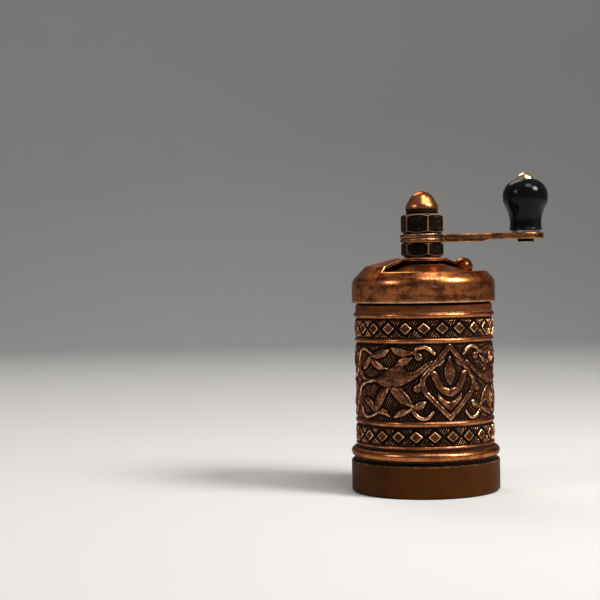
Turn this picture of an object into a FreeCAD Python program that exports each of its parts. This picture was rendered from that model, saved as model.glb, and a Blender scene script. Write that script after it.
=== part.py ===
import FreeCAD, Part
import math
import os

# Hand-cranked pepper mill, upright on its base cap. Millimetres, +Z up, crank along +X, front -Y.
# The origin is the centre of the base cap's foot face.

# Base cap: a plain cup that pulls off downwards
cap_radius = 18.5
cap_height = 7.9
cap_wall = 1.85
cap_floor = 1.2
cap_foot_chamfer = 0.5
cap_rim_chamfer = 0.25

# Body casting: spigots, walls and the stack of rings and bands, whose foot bead is flush with the cap
body_inset = 1.75
body_wall = 1.95
foot_spigot_length = 4.0
foot_spigot_wall = 2.0
top_spigot_length = 3.5
foot_groove_height = 0.9
foot_groove_inset = 0.8
foot_bead_height = 2.3
bead_groove_height = 0.7
bead_groove_inset = 1.5
thin_ring_height = 0.7
ring_proud = 0.55
lower_band_height = 4.6
lower_ring_height = 1.4
main_band_height = 18.7
upper_ring_height = 1.3
upper_band_height = 4.7
neck_bead_height = 1.4
neck_bead_proud = 0.75
neck_band_height = 1.8
neck_band_proud = 0.25
neck_groove_height = 0.6
neck_groove_inset = 0.15
hopper_rise = 2.3
hopper_ledge = 1.5

# Cast relief of the main band, low forms on its ground. A point is the degrees from a medallion's middle and a
# share of the band's height. One quarter of the band is drawn, and it is mirrored and turned to the others.
relief_height = 0.3
relief_sink = 0.4
relief_margin = 0.2
medallion_azimuth_deg = -73.8
medallion_bar = 0.85
medallion_frame = ((0.0, 0.968), (21.5, 0.572), (22.6, 0.529), (22.3, 0.460), (19.9, 0.369), (0.0, 0.043))
medallion_bud = ((0.0, 0.831), (2.2, 0.740), (4.5, 0.636), (2.9, 0.533), (0.0, 0.475), (-2.9, 0.533),
                 (-4.5, 0.636), (-2.2, 0.740))
relief_patches = {
    "heart": ((70.9, 0.520), (60.5, 0.573), (53.4, 0.648), (46.5, 0.690), (41.1, 0.692), (37.1, 0.651),
              (35.5, 0.564), (34.9, 0.529), (40.5, 0.475), (46.7, 0.441), (53.6, 0.449), (60.7, 0.486)),
    "petal": ((0.4, 0.415), (5.8, 0.447), (8.6, 0.542), (11.2, 0.628), (16.0, 0.645), (13.0, 0.496), (8.4, 0.387),
              (2.5, 0.335), (-0.7, 0.374)),
    "sepal": ((0.4, 0.244), (4.0, 0.265), (9.7, 0.346), (9.6, 0.287), (5.7, 0.215), (0.3, 0.149), (-0.7, 0.193)),
}
leaf_half_widths = {"slim": 0.66, "full": 0.84, "broad": 1.05, "wide": 1.25}
relief_leaves = (
    ("full", ((70.6, 0.834), (63.5, 0.850), (56.1, 0.882), (49.7, 0.936))),
    ("full", ((70.0, 0.797), (65.2, 0.743), (60.2, 0.706), (54.8, 0.684))),
    ("full", ((71.0, 0.829), (73.8, 0.785), (77.2, 0.725), (81.1, 0.652))),
    ("full", ((49.0, 0.957), (43.3, 0.904), (37.9, 0.880), (28.4, 0.888))),
    ("full", ((45.0, 0.706), (41.2, 0.754), (36.2, 0.786), (30.4, 0.824))),
    ("broad", ((52.1, 0.428), (58.1, 0.342), (62.5, 0.241), (64.6, 0.102))),
    ("wide", ((50.0, 0.433), (43.6, 0.374), (37.5, 0.289), (30.8, 0.198))),
    ("full", ((79.8, 0.278), (75.4, 0.254), (70.2, 0.202), (64.9, 0.112))),
    ("slim", ((63.5, 0.102), (59.5, 0.122), (55.0, 0.112), (50.7, 0.064))),
    ("slim", ((47.3, 0.048), (42.6, 0.098), (37.4, 0.128), (31.8, 0.144))),
    ("full", ((30.1, 0.166), (27.0, 0.189), (23.4, 0.221), (19.9, 0.257))),
)
vine_width = 0.56
relief_vines = (
    ((73.0, 0.521), (81.8, 0.556), (87.9, 0.652), (88.6, 0.802), (84.8, 0.904), (79.1, 0.930), (71.0, 0.877)),
    ((72.3, 0.505), (79.8, 0.476), (86.2, 0.417), (88.2, 0.316), (86.5, 0.182), (81.1, 0.070), (75.0, 0.040),
     (66.3, 0.080)),
    ((28.7, 0.888), (26.7, 0.936), (21.0, 0.957), (16.2, 0.925), (12.5, 0.866)),
    ((31.4, 0.198), (30.1, 0.128), (26.4, 0.061), (21.6, 0.037), (17.6, 0.061), (14.5, 0.118)),
    ((38.2, 0.599), (31.1, 0.615), (25.7, 0.636), (21.3, 0.679)),
)
relief_bud_radius = 0.85
relief_buds = ((25.4, 0.834), (26.9, 0.428))

# Dome cover with its filling window
dome_inset = 0.65
dome_wall = 0.7
dome_skirt_wall = 0.9
dome_skirt_height = 5.3
dome_shoulder_round = 2.6
dome_bevel_run = 3.4
dome_brow_rise = 3.63
dome_crown_margin = 1.0
dome_crown_rise = 1.92
dome_seat_width = 0.75
window_inner_radius = 6.3
window_lip = 2.05
window_start_deg = -134.0
window_end_deg = 36.0

# Rotary shutter under the dome
shutter_thickness = 0.8
shutter_rim_overlap = 0.25
shutter_rim_gap = 0.15
shutter_lap_deg = 4.0
shutter_hub_radius = 5.4
shutter_hub_drop = 0.9
shutter_knob_radius = 2.39
shutter_knob_inset = 4.5
shutter_knob_azimuth_deg = 20.0
shutter_knob_rise = 1.05
shutter_shank_radius = 1.0
shutter_peen_radius = 1.6
shutter_peen_height = 0.5
spring_washer_height = 0.65
spring_washer_sheet = 0.3
spring_washer_width = 1.5
bush_nut_height = 1.3
bush_nut_flats = 8.6
bush_nut_chamfer = 0.2

# Drive shaft, its upper bush and the crank stack
shaft_radius = 2.0
shaft_square = 2.8
shaft_thread_radius = 1.5
bush_stem_radius = 3.4
bush_flange_radius = 4.6
bush_flange_height = 0.4
hex_corner_radius = 5.5
hex_turn_deg = -19.0
hex_chamfer = 0.45
hex_chamfer_deg = 30.0
lock_nut_height = 3.45
crank_washer_height = 0.35
crank_washer_radius = 4.7
acorn_hex_height = 4.6
acorn_neck_height = 0.9
acorn_neck_radius = 3.95
acorn_dome_radius = 4.1
acorn_dome_height = 4.95
acorn_belly_arc = 1.8
acorn_flank_lean_deg = 30.0
shaft_in_acorn = 6.0

# Crank arm and its turning knob
crank_throw = 25.9
crank_thickness = 2.0
crank_end_thickness = 1.5
crank_hub_radius = 5.5
crank_groove_width = 0.4
crank_groove_depth = 0.3
crank_arm_width = 4.2
crank_flare_start = 17.0
crank_taper_run = 2.0
crank_end_radius = 4.4
crank_edge_round = 0.3
knob_foot_radius = 4.1
knob_foot_height = 0.6
knob_neck_radius = 3.9
knob_neck_rise = 1.75
knob_belly_radius = 5.65
knob_belly_rise = 8.5
knob_belly_arc = 5.5
knob_top_radius = 2.5
knob_height = 12.75
knob_washer_height = 0.55
knob_washer_radius = 3.6
rivet_radius = 1.6
rivet_cap_radius = 2.3
rivet_cap_height = 1.7
rivet_tail_radius = 2.0
rivet_tail_height = 0.75

# Burr set in the foot of the casting
stator_flange_width = 3.4
stator_sleeve_height = 7.5
stator_flange_height = 1.2
stator_foot_wall = 2.3
stator_throat_step = 1.2
stator_throat_rise = 4.8
stator_mouth_wall = 1.6
stator_teeth = 18
rotor_teeth = 12
tooth_depth = 0.55
tooth_slant_deg = 14.0
burr_gap = 0.4
rotor_foot_rise = 0.8
rotor_nose_radius = 4.7
rotor_nose_gap = 1.5
rotor_pocket_depth = 1.8
rotor_pocket_radius = 4.0
screw_count = 3
screw_radius = 0.83
screw_length = 4.3
screw_head_radius = 1.55
screw_head_height = 0.9
screw_slot_width = 0.45
screw_slot_depth = 0.4
screw_phase_deg = 60.0
bridge_height = 1.2
bridge_rim_width = 1.5
bridge_hub_radius = 4.4
bridge_arm_width = 2.6
bridge_arms = 3
bearing_radius = 3.0
bearing_flange_height = 0.3
bearing_above = 0.9

# Grind adjustment under the burr
adjust_washer_height = 0.4
adjust_washer_radius = 3.6
adjust_nut_height = 2.6
adjust_nut_radius = 4.5
adjust_nut_grips = 14
adjust_grip_radius = 0.55
adjust_fine_travel = 0.25
adjust_coarse_travel = 0.75
clip_height = 0.4
clip_radius = 2.5
clip_groove_depth = 0.3
clip_mouth_deg = 70.0
shaft_tail = 0.35
shaft_floor_gap = 0.8
burr_spring_wire = 0.3
burr_spring_radius = 3.3
burr_spring_turns = 2.75

# Clearances
slip_fit = 0.05
press_gap = 0.02
face_gap = 0.05
stator_gap = 0.1
spring_end_gap = 0.04

# Radii worked out from the cap inwards
foot_spigot_radius = cap_radius - cap_wall - slip_fit
spigot_bore = foot_spigot_radius - foot_spigot_wall
foot_bead_radius = cap_radius
foot_groove_radius = cap_radius - foot_groove_inset
bead_groove_radius = cap_radius - bead_groove_inset
body_radius = cap_radius - body_inset
chamber_radius = body_radius - body_wall
neck_band_radius = body_radius + neck_band_proud
neck_groove_radius = body_radius - neck_groove_inset
dome_radius = cap_radius - dome_inset
dome_skirt_bore = dome_radius - dome_skirt_wall
top_spigot_radius = dome_skirt_bore - press_gap
dome_brow_radius = dome_radius - dome_bevel_run
dome_crown_radius = window_inner_radius + dome_crown_margin
window_outer_radius = dome_radius - window_lip
shutter_knob_orbit = window_outer_radius - shutter_knob_inset
stator_radius = spigot_bore - stator_flange_width
stator_foot_radius = stator_radius - stator_foot_wall
stator_throat_radius = stator_foot_radius - stator_throat_step
stator_mouth_radius = stator_radius - stator_mouth_wall
screw_circle = (stator_radius + spigot_bore) / 2

# Heights worked out from the foot upwards
foot_spigot_z = cap_height - foot_spigot_length
foot_bead_z = cap_height + foot_groove_height
bead_groove_z = foot_bead_z + foot_bead_height
thin_ring_z = bead_groove_z + bead_groove_height
lower_band_z = thin_ring_z + thin_ring_height
lower_ring_z = lower_band_z + lower_band_height
main_band_z = lower_ring_z + lower_ring_height
upper_ring_z = main_band_z + main_band_height
upper_band_z = upper_ring_z + upper_ring_height
neck_bead_z = upper_band_z + upper_band_height
neck_band_z = neck_bead_z + neck_bead_height
neck_groove_z = neck_band_z + neck_band_height
dome_z = neck_groove_z + neck_groove_height
top_spigot_z = dome_z + top_spigot_length
shoulder_z = dome_z + dome_skirt_height
brow_z = shoulder_z + dome_brow_rise
crown_z = brow_z + dome_crown_rise
crown_under_z = crown_z - dome_wall

shutter_hub_top = crown_under_z - face_gap
shutter_plate_top = shutter_hub_top - shutter_hub_drop
shutter_hub_bottom = shutter_plate_top - shutter_thickness
bush_nut_top = shutter_hub_bottom - face_gap - spring_washer_height
bush_nut_bottom = bush_nut_top - bush_nut_height
bush_top = crown_z + bush_flange_height
lock_nut_z = bush_top + face_gap
crank_z = lock_nut_z + lock_nut_height
crank_top = crank_z + crank_thickness
crank_end_z = crank_top - crank_end_thickness
acorn_z = crank_top + crank_washer_height
acorn_neck_z = acorn_z + acorn_hex_height
acorn_dome_z = acorn_neck_z + acorn_neck_height
shaft_top = acorn_z + shaft_in_acorn
knob_z = crank_top + knob_washer_height + face_gap
knob_top = knob_z + knob_height

shaft_bottom = cap_floor + shaft_floor_gap
clip_z = shaft_bottom + shaft_tail
clip_top = clip_z + clip_height
adjust_nut_z = clip_top + face_gap + adjust_coarse_travel
adjust_nut_top = adjust_nut_z + adjust_nut_height
adjust_washer_z = adjust_nut_top + face_gap
rotor_z = adjust_washer_z + adjust_washer_height
stator_foot_z = rotor_z - rotor_foot_rise
stator_flange_top = stator_foot_z + stator_flange_height
bridge_z = stator_flange_top + stator_sleeve_height
ledge_z = bridge_z + bridge_height
hopper_z = ledge_z + hopper_ledge
bearing_z = bridge_z - bearing_flange_height
rotor_throat_z = stator_foot_z + stator_throat_rise
rotor_top = bridge_z - rotor_nose_gap
rotor_pocket_z = rotor_top - rotor_pocket_depth
shaft_square_z = rotor_z + adjust_fine_travel + stator_gap

Vector = FreeCAD.Vector
UP = Vector(0, 0, 1)
ORIGIN = Vector(0, 0, 0)


def at(radius, z):
    """A point of a turned profile, in the XZ plane."""
    return Vector(radius, 0, z)


def turned(start, *steps):
    """Turn a closed profile about Z. A step is a point, or a pair of points for an arc through the first."""
    edges = []
    here = start
    for step in steps + (start,):
        if isinstance(step, tuple):
            edges.append(Part.Arc(here, step[0], step[1]).toShape())
            here = step[1]
        elif (step - here).Length > 1e-9:
            edges.append(Part.LineSegment(here, step).toShape())
            here = step
    return Part.Face(Part.Wire(edges)).revolve(ORIGIN, UP, 360)


def rod(radius, z_low, z_high, x=0.0, y=0.0):
    """An upright cylinder."""
    return Part.makeCylinder(radius, z_high - z_low, Vector(x, y, z_low))


def square_bar(side, z_low, z_high):
    """An upright square bar on the main axis."""
    return Part.makeBox(side, side, z_high - z_low, Vector(-side / 2, -side / 2, z_low))


def around(shape, degrees, centre=ORIGIN):
    """A copy turned about an upright axis."""
    copy = shape.copy()
    copy.rotate(centre, UP, degrees)
    return copy


def sector(radius, z_low, z_high, start_deg, end_deg):
    """An upright pie slice on the main axis, from one azimuth to the next."""
    slice_deg = end_deg - start_deg
    return around(Part.makeCylinder(radius, z_high - z_low, Vector(0, 0, z_low), UP, slice_deg), start_deg)


def hexagon_bar(corner_radius, z_low, z_high, turn_deg):
    """An upright hexagonal bar, with one corner at the given azimuth."""
    corners = []
    for index in range(7):
        angle = math.radians(turn_deg + 60 * index)
        corners.append(Vector(corner_radius * math.cos(angle), corner_radius * math.sin(angle), z_low))
    return Part.Face(Part.makePolygon(corners)).extrude(Vector(0, 0, z_high - z_low))


def nut_blank(corner_radius, z_low, z_high, turn_deg, chamfer):
    """A hexagonal bar whose corners are turned off at both ends."""
    run = chamfer / math.tan(math.radians(hex_chamfer_deg))
    barrel = turned(at(0, z_low), at(corner_radius - run, z_low), at(corner_radius, z_low + chamfer),
                    at(corner_radius, z_high - chamfer), at(corner_radius - run, z_high), at(0, z_high))
    return hexagon_bar(corner_radius, z_low, z_high, turn_deg).common(barrel)


def bead(low_radius, out_radius, z_low, z_high):
    """The arc of a half-round bead, as one step of a turned profile."""
    return at(out_radius, (z_low + z_high) / 2), at(low_radius, z_high)


def make_base_cap():
    """The cup under the mill, with a flat foot."""
    bore = foot_spigot_radius + slip_fit
    return turned(at(0, 0), at(cap_radius - cap_foot_chamfer, 0), at(cap_radius, cap_foot_chamfer),
                  at(cap_radius, cap_height - cap_rim_chamfer), at(cap_radius - cap_rim_chamfer, cap_height),
                  at(bore, cap_height), at(bore, cap_floor), at(0, cap_floor))


def design_point(spot, middle_deg):
    """A point of the main band's design, on the flat through the axis that faces the form's middle."""
    degrees, share = spot
    return Vector(0, body_radius * math.sin(math.radians(degrees - middle_deg)),
                  main_band_z + share * main_band_height)


def strip_plan(points, half_widths):
    """A plan along some points, with straight sides at the given distances from them."""
    left = []
    right = []
    for index, point in enumerate(points):
        along = points[min(index + 1, len(points) - 1)] - points[max(index - 1, 0)]
        across = along.cross(Vector(1, 0, 0)).normalize() * half_widths[index]
        left.append(point + across)
        if half_widths[index]:
            right.append(point - across)
    return flat_plan(left + right[::-1])


def flat_plan(corners):
    """A plan with straight sides between its corners."""
    return Part.Face(Part.makePolygon(corners + corners[:1]))


def raised(plan, middle_deg):
    """A raised form: a plan pushed out to the relief's height and turned to its place."""
    low = main_band_z + relief_margin
    high = upper_ring_z - relief_margin
    sleeve = rod(body_radius + relief_height, low, high).cut(rod(body_radius - relief_sink, low, high))
    return around(plan.extrude(Vector(2 * body_radius, 0, 0)).common(sleeve), middle_deg)


def make_relief():
    """The raised forms of the main band."""
    frame = medallion_frame + tuple((-degrees, share) for degrees, share in medallion_frame[-2:0:-1])
    bar = Part.makePolygon([design_point(spot, 0) for spot in frame + frame[:1]])
    rim = Part.Face(bar.makeOffset2D(medallion_bar / 2, 2))
    whole = [raised(rim.cut(Part.Face(bar.makeOffset2D(-medallion_bar / 2, 2))), 0),
             raised(flat_plan([design_point(spot, 0) for spot in medallion_bud]), 0)]
    quarter = []
    for patch in relief_patches.values():
        middle = middle_of(patch)
        quarter.append(raised(flat_plan([design_point(spot, middle) for spot in patch]), middle))
    for width, spine in relief_leaves:
        middle = middle_of(spine)
        half_widths = [0.0] + [leaf_half_widths[width]] * (len(spine) - 2) + [0.0]
        quarter.append(raised(strip_plan([design_point(spot, middle) for spot in spine], half_widths), middle))
    for vine in relief_vines:
        middle = middle_of(vine)
        half_widths = [vine_width / 2] * len(vine)
        quarter.append(raised(strip_plan([design_point(spot, middle) for spot in vine], half_widths), middle))
    for bud in relief_buds:
        circle = Part.makeCircle(relief_bud_radius, design_point(bud, bud[0]), Vector(1, 0, 0))
        quarter.append(raised(Part.Face(Part.Wire(circle)), bud[0]))
    half = whole + quarter + [form.mirror(ORIGIN, Vector(0, 1, 0)) for form in quarter]
    return [around(form, medallion_azimuth_deg + turn) for turn in (0, 180) for form in half]


def middle_of(spots):
    """The azimuth at the middle of some points of the design."""
    return sum(degrees for degrees, share in spots) / len(spots)


def make_body_casting():
    """The cast tube: ringed outside, with a hopper floor and the burr's seat inside."""
    ring_radius = body_radius + ring_proud
    seat = stator_radius + press_gap
    throat = seat - hopper_ledge
    casting = turned(
        at(spigot_bore, foot_spigot_z), at(foot_spigot_radius, foot_spigot_z),
        at(foot_spigot_radius, cap_height), at(foot_groove_radius, cap_height),
        at(foot_groove_radius, foot_bead_z),
        bead(foot_groove_radius, foot_bead_radius, foot_bead_z, bead_groove_z),
        at(bead_groove_radius, bead_groove_z), at(bead_groove_radius, thin_ring_z),
        at(body_radius, thin_ring_z),
        bead(body_radius, ring_radius, thin_ring_z, lower_band_z),
        at(body_radius, lower_ring_z),
        bead(body_radius, ring_radius, lower_ring_z, main_band_z),
        at(body_radius, upper_ring_z),
        bead(body_radius, ring_radius, upper_ring_z, upper_band_z),
        at(body_radius, neck_bead_z),
        bead(body_radius, body_radius + neck_bead_proud, neck_bead_z, neck_band_z),
        at(neck_band_radius, neck_band_z), at(neck_band_radius, neck_groove_z),
        at(neck_groove_radius, neck_groove_z), at(neck_groove_radius, dome_z),
        at(top_spigot_radius, dome_z), at(top_spigot_radius, top_spigot_z),
        at(chamber_radius, top_spigot_z), at(chamber_radius, hopper_z + hopper_rise),
        at(throat, hopper_z), at(throat, ledge_z), at(seat, ledge_z),
        at(seat, stator_flange_top), at(spigot_bore, stator_flange_top))
    pilot = rod(screw_radius + press_gap, stator_flange_top, stator_flange_top + screw_length, screw_circle)
    return casting.cut(screw_copies(pilot)).fuse(make_relief()).removeSplitter()


def screw_copies(shape):
    """One copy of a shape at each stator screw."""
    turns = [screw_phase_deg + 360 * index / screw_count for index in range(screw_count)]
    return Part.makeCompound([around(shape, turn) for turn in turns])


def brow_offset(distance):
    """The brow corner of the dome's profile, moved inwards by a wall."""
    bevel_run = dome_radius - dome_brow_radius
    bevel = math.hypot(bevel_run, dome_brow_rise)
    cone_run = dome_brow_radius - dome_crown_radius
    cone = math.hypot(cone_run, dome_crown_rise)
    bevel_normal = (dome_brow_rise / bevel, bevel_run / bevel)
    cone_normal = (dome_crown_rise / cone, cone_run / cone)
    lean = 1 + bevel_normal[0] * cone_normal[0] + bevel_normal[1] * cone_normal[1]
    back = distance / lean
    return at(dome_brow_radius - back * (bevel_normal[0] + cone_normal[0]),
              brow_z - back * (bevel_normal[1] + cone_normal[1]))


def bevel_under(radius):
    """Height of the underside of the dome's bevel at a radius."""
    inner_brow = brow_offset(dome_wall)
    bevel_slope = dome_brow_rise / (dome_radius - dome_brow_radius)
    return inner_brow.z - bevel_slope * (radius - inner_brow.x)


def make_dome_cover():
    """The bevelled dome over the body's top spigot, with a sector window in its upper slope."""
    seat = dome_skirt_bore - dome_seat_width
    inner_brow = brow_offset(dome_wall)
    hole = bush_stem_radius + press_gap
    cone_slope = dome_crown_rise / (dome_brow_radius - dome_crown_radius)
    inner_crown_radius = inner_brow.x - (crown_under_z - inner_brow.z) / cone_slope
    shell = turned(
        at(dome_skirt_bore, dome_z), at(dome_radius, dome_z), at(dome_radius, shoulder_z),
        at(dome_brow_radius, brow_z), at(dome_crown_radius, crown_z), at(hole, crown_z),
        at(hole, crown_under_z), at(inner_crown_radius, crown_under_z), inner_brow,
        at(seat, bevel_under(seat)), at(seat, top_spigot_z), at(dome_skirt_bore, top_spigot_z))
    shoulder = []
    for edge in shell.Edges:
        box = edge.BoundBox
        if box.ZLength < 1e-6 and abs(box.ZMax - shoulder_z) < 1e-6 and abs(box.XMax - dome_radius) < 1e-6:
            shoulder.append(edge)
    shell = shell.makeFillet(dome_shoulder_round, shoulder)
    window = sector(window_outer_radius, top_spigot_z, crown_z + dome_wall, window_start_deg, window_end_deg)
    return shell.cut(window.cut(rod(window_inner_radius, top_spigot_z, crown_z + dome_wall)))


def shutter_top(radius):
    """Height of the shutter's upper face at a radius: a cone from its hub to just under the dome's bevel."""
    rim = window_outer_radius + shutter_rim_overlap
    fall = shutter_plate_top - (bevel_under(rim) - shutter_rim_gap)
    return shutter_plate_top - fall * (radius - shutter_hub_radius) / (rim - shutter_hub_radius)


def make_shutter_plate():
    """A conical sector under the dome's window, with a hub that turns on the bush."""
    bore = bush_stem_radius + slip_fit
    rim = window_outer_radius + shutter_rim_overlap
    cone = turned(
        at(bore, shutter_hub_bottom), at(shutter_hub_radius, shutter_hub_bottom),
        at(rim, shutter_top(rim) - shutter_thickness), at(rim, shutter_top(rim)),
        at(shutter_hub_radius, shutter_plate_top), at(bore, shutter_plate_top))
    plate = cone.common(sector(rim + shutter_thickness, bush_nut_bottom, crown_z,
                               window_start_deg - shutter_lap_deg, window_end_deg + shutter_lap_deg))
    hub = rod(shutter_hub_radius, shutter_hub_bottom, shutter_hub_top)
    hub = hub.cut(rod(bore, bush_nut_bottom, crown_z))
    return plate.fuse(hub).removeSplitter().cut(shutter_knob_copy(shank_hole()))


def shutter_knob_copy(shape):
    """A shape made on the main axis, moved to the shutter knob's place."""
    copy = shape.copy()
    copy.translate(Vector(shutter_knob_orbit, 0, 0))
    return around(copy, shutter_knob_azimuth_deg)


def shank_hole():
    """The hole for the shutter knob's shank, on the main axis."""
    return rod(shutter_shank_radius + press_gap, bush_nut_bottom - shutter_thickness, crown_z)


def make_shutter_knob():
    """A ball knob cut to the plate's slope, with a shank peened over under the plate."""
    seat_z = shutter_top(shutter_knob_orbit)
    centre_z = seat_z + shutter_knob_rise
    ball = Part.makeSphere(shutter_knob_radius, at(shutter_knob_orbit, centre_z))
    ball = around(ball, shutter_knob_azimuth_deg)
    inner = shutter_knob_orbit - 2 * shutter_knob_radius
    outer = shutter_knob_orbit + 2 * shutter_knob_radius
    above = turned(at(inner, shutter_top(inner) + press_gap), at(outer, shutter_top(outer) + press_gap),
                   at(outer, seat_z + 3 * shutter_knob_radius), at(inner, seat_z + 3 * shutter_knob_radius))
    under_drop = shutter_thickness + press_gap
    below = turned(at(inner, shutter_top(inner) - under_drop), at(outer, shutter_top(outer) - under_drop),
                   at(outer, shutter_top(outer) - under_drop - shutter_peen_height),
                   at(inner, shutter_top(inner) - under_drop - shutter_peen_height))
    deep_z = seat_z - shutter_thickness - 3 * shutter_peen_height
    peen = shutter_knob_copy(rod(shutter_peen_radius, deep_z, seat_z)).common(below)
    shank_z = seat_z - under_drop - shutter_peen_height / 2
    shank = shutter_knob_copy(rod(shutter_shank_radius, shank_z, centre_z))
    return ball.common(above).fuse(shank).fuse(peen).removeSplitter()


def make_shutter_spring():
    """A dished spring washer that presses the shutter up."""
    inner = bush_stem_radius + slip_fit
    outer = inner + spring_washer_width
    top = bush_nut_top + spring_washer_height
    return turned(at(inner, bush_nut_top), at(outer, top - spring_washer_sheet), at(outer, top),
                  at(inner, bush_nut_top + spring_washer_sheet))


def make_bush_nut():
    """The nut that holds the bush, the spring washer and the shutter to the dome."""
    corner = bush_nut_flats / math.sqrt(3)
    blank = nut_blank(corner, bush_nut_bottom, bush_nut_top, 0, bush_nut_chamfer)
    return blank.cut(rod(bush_stem_radius + press_gap, bush_nut_bottom, bush_nut_top))


def make_top_bush():
    """The flanged bush in the dome, in which the shaft turns."""
    bore = shaft_radius + slip_fit
    return turned(at(bore, bush_nut_bottom), at(bush_stem_radius, bush_nut_bottom),
                  at(bush_stem_radius, crown_z), at(bush_flange_radius, crown_z),
                  at(bush_flange_radius, bush_top), at(bore, bush_top))


def make_lock_nut():
    """The hexagonal nut under the crank."""
    blank = nut_blank(hex_corner_radius, lock_nut_z, crank_z, hex_turn_deg, hex_chamfer)
    return blank.cut(rod(shaft_radius + press_gap, lock_nut_z, crank_z))


def make_crank_washer():
    """The washer between the crank and the acorn nut."""
    return rod(crank_washer_radius, crank_top, acorn_z).cut(rod(shaft_radius + press_gap, crank_top, acorn_z))


def crank_plan():
    """The arm's outline seen from above: a bar that flares to meet its end eye."""
    half_width = crank_arm_width / 2
    reach = crank_throw - crank_flare_start
    spread = math.acos(crank_end_radius / math.hypot(reach, half_width))
    touch = math.atan2(half_width, -reach) - spread
    touch_x = crank_throw + crank_end_radius * math.cos(touch)
    touch_y = crank_end_radius * math.sin(touch)
    side = [(0, half_width), (crank_flare_start, half_width), (touch_x, touch_y)]
    outline = side + [(x, -y) for x, y in reversed(side)]
    return [Vector(x, y, crank_z) for x, y in outline + outline[:1]]


def make_crank_arm():
    """The crank: a grooved hub with a square hole, a flared bar, and a thinner eye for the rivet."""
    groove_mid = (crank_z + crank_top) / 2
    groove_foot = crank_hub_radius - crank_groove_depth
    hub = turned(at(0, crank_z), at(crank_hub_radius, crank_z),
                 at(crank_hub_radius, groove_mid - crank_groove_width / 2), at(groove_foot, groove_mid),
                 at(crank_hub_radius, groove_mid + crank_groove_width / 2), at(crank_hub_radius, crank_top),
                 at(0, crank_top))
    bar = Part.Face(Part.makePolygon(crank_plan())).extrude(Vector(0, 0, crank_thickness))
    bar = bar.fuse(rod(crank_end_radius, crank_z, crank_top, crank_throw)).removeSplitter()
    past_end = crank_throw + 2 * crank_end_radius
    taper_start = at(crank_flare_start - crank_taper_run, crank_z)
    under = Part.makePolygon([taper_start, at(crank_flare_start, crank_end_z), at(past_end, crank_end_z),
                              at(past_end, crank_z), taper_start])
    under_cut = Part.Face(under).extrude(Vector(0, 4 * crank_end_radius, 0))
    under_cut.translate(Vector(0, -2 * crank_end_radius, 0))
    bar = bar.cut(under_cut)
    top_edges = [edge for edge in bar.Edges if edge.BoundBox.ZMin > crank_top - press_gap]
    rim_edges = [edge for edge in top_edges if edge.BoundBox.XMax > press_gap]
    arm = hub.fuse(bar.makeFillet(crank_edge_round, rim_edges)).removeSplitter()
    arm = arm.cut(square_bar(shaft_square + 2 * press_gap, crank_z, crank_top))
    return arm.cut(rod(rivet_radius + press_gap, crank_z, crank_top, crank_throw))


def make_acorn_nut():
    """The domed nut on top: hexagon, neck and egg-shaped dome of tangent arcs, with a blind bore."""
    hexagon = nut_blank(hex_corner_radius, acorn_z, acorn_neck_z, hex_turn_deg, hex_chamfer)
    lean = math.radians(acorn_flank_lean_deg)
    outward = at(math.cos(lean), math.sin(lean))
    belly_drop = math.acos(1 - (acorn_dome_radius - acorn_neck_radius) / acorn_belly_arc)
    belly_z = acorn_dome_z + acorn_belly_arc * math.sin(belly_drop)
    belly_centre = at(acorn_dome_radius - acorn_belly_arc, belly_z)
    flank_foot = belly_centre + outward * acorn_belly_arc
    tip_z = acorn_dome_z + acorn_dome_height
    tip_arc = (flank_foot.dot(outward) - tip_z * outward.z) / (1 - outward.z)
    tip_centre = at(0, tip_z - tip_arc)
    half_tip = (lean + math.pi / 2) / 2
    cap = turned(at(0, acorn_neck_z - hex_chamfer), at(acorn_neck_radius, acorn_neck_z - hex_chamfer),
                 at(acorn_neck_radius, acorn_dome_z), (at(acorn_dome_radius, belly_z), flank_foot),
                 tip_centre + outward * tip_arc,
                 (tip_centre + at(math.cos(half_tip), math.sin(half_tip)) * tip_arc, at(0, tip_z)))
    bore = rod(shaft_radius + press_gap, acorn_z, shaft_top + face_gap)
    return hexagon.fuse(cap).removeSplitter().cut(bore)


def make_drive_shaft():
    """The shaft: square in the crank and in the burr, round in its bushes, slim at its threaded foot."""
    groove = shaft_thread_radius - clip_groove_depth
    lengths = [
        rod(groove, clip_z, clip_top),
        rod(shaft_thread_radius, clip_top, shaft_square_z),
        square_bar(shaft_square, shaft_square_z, rotor_top),
        rod(shaft_radius, rotor_top, crank_z),
        square_bar(shaft_square, crank_z, crank_top),
        rod(shaft_radius, crank_top, shaft_top),
    ]
    return rod(shaft_thread_radius, shaft_bottom, clip_z).fuse(lengths).removeSplitter()


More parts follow.
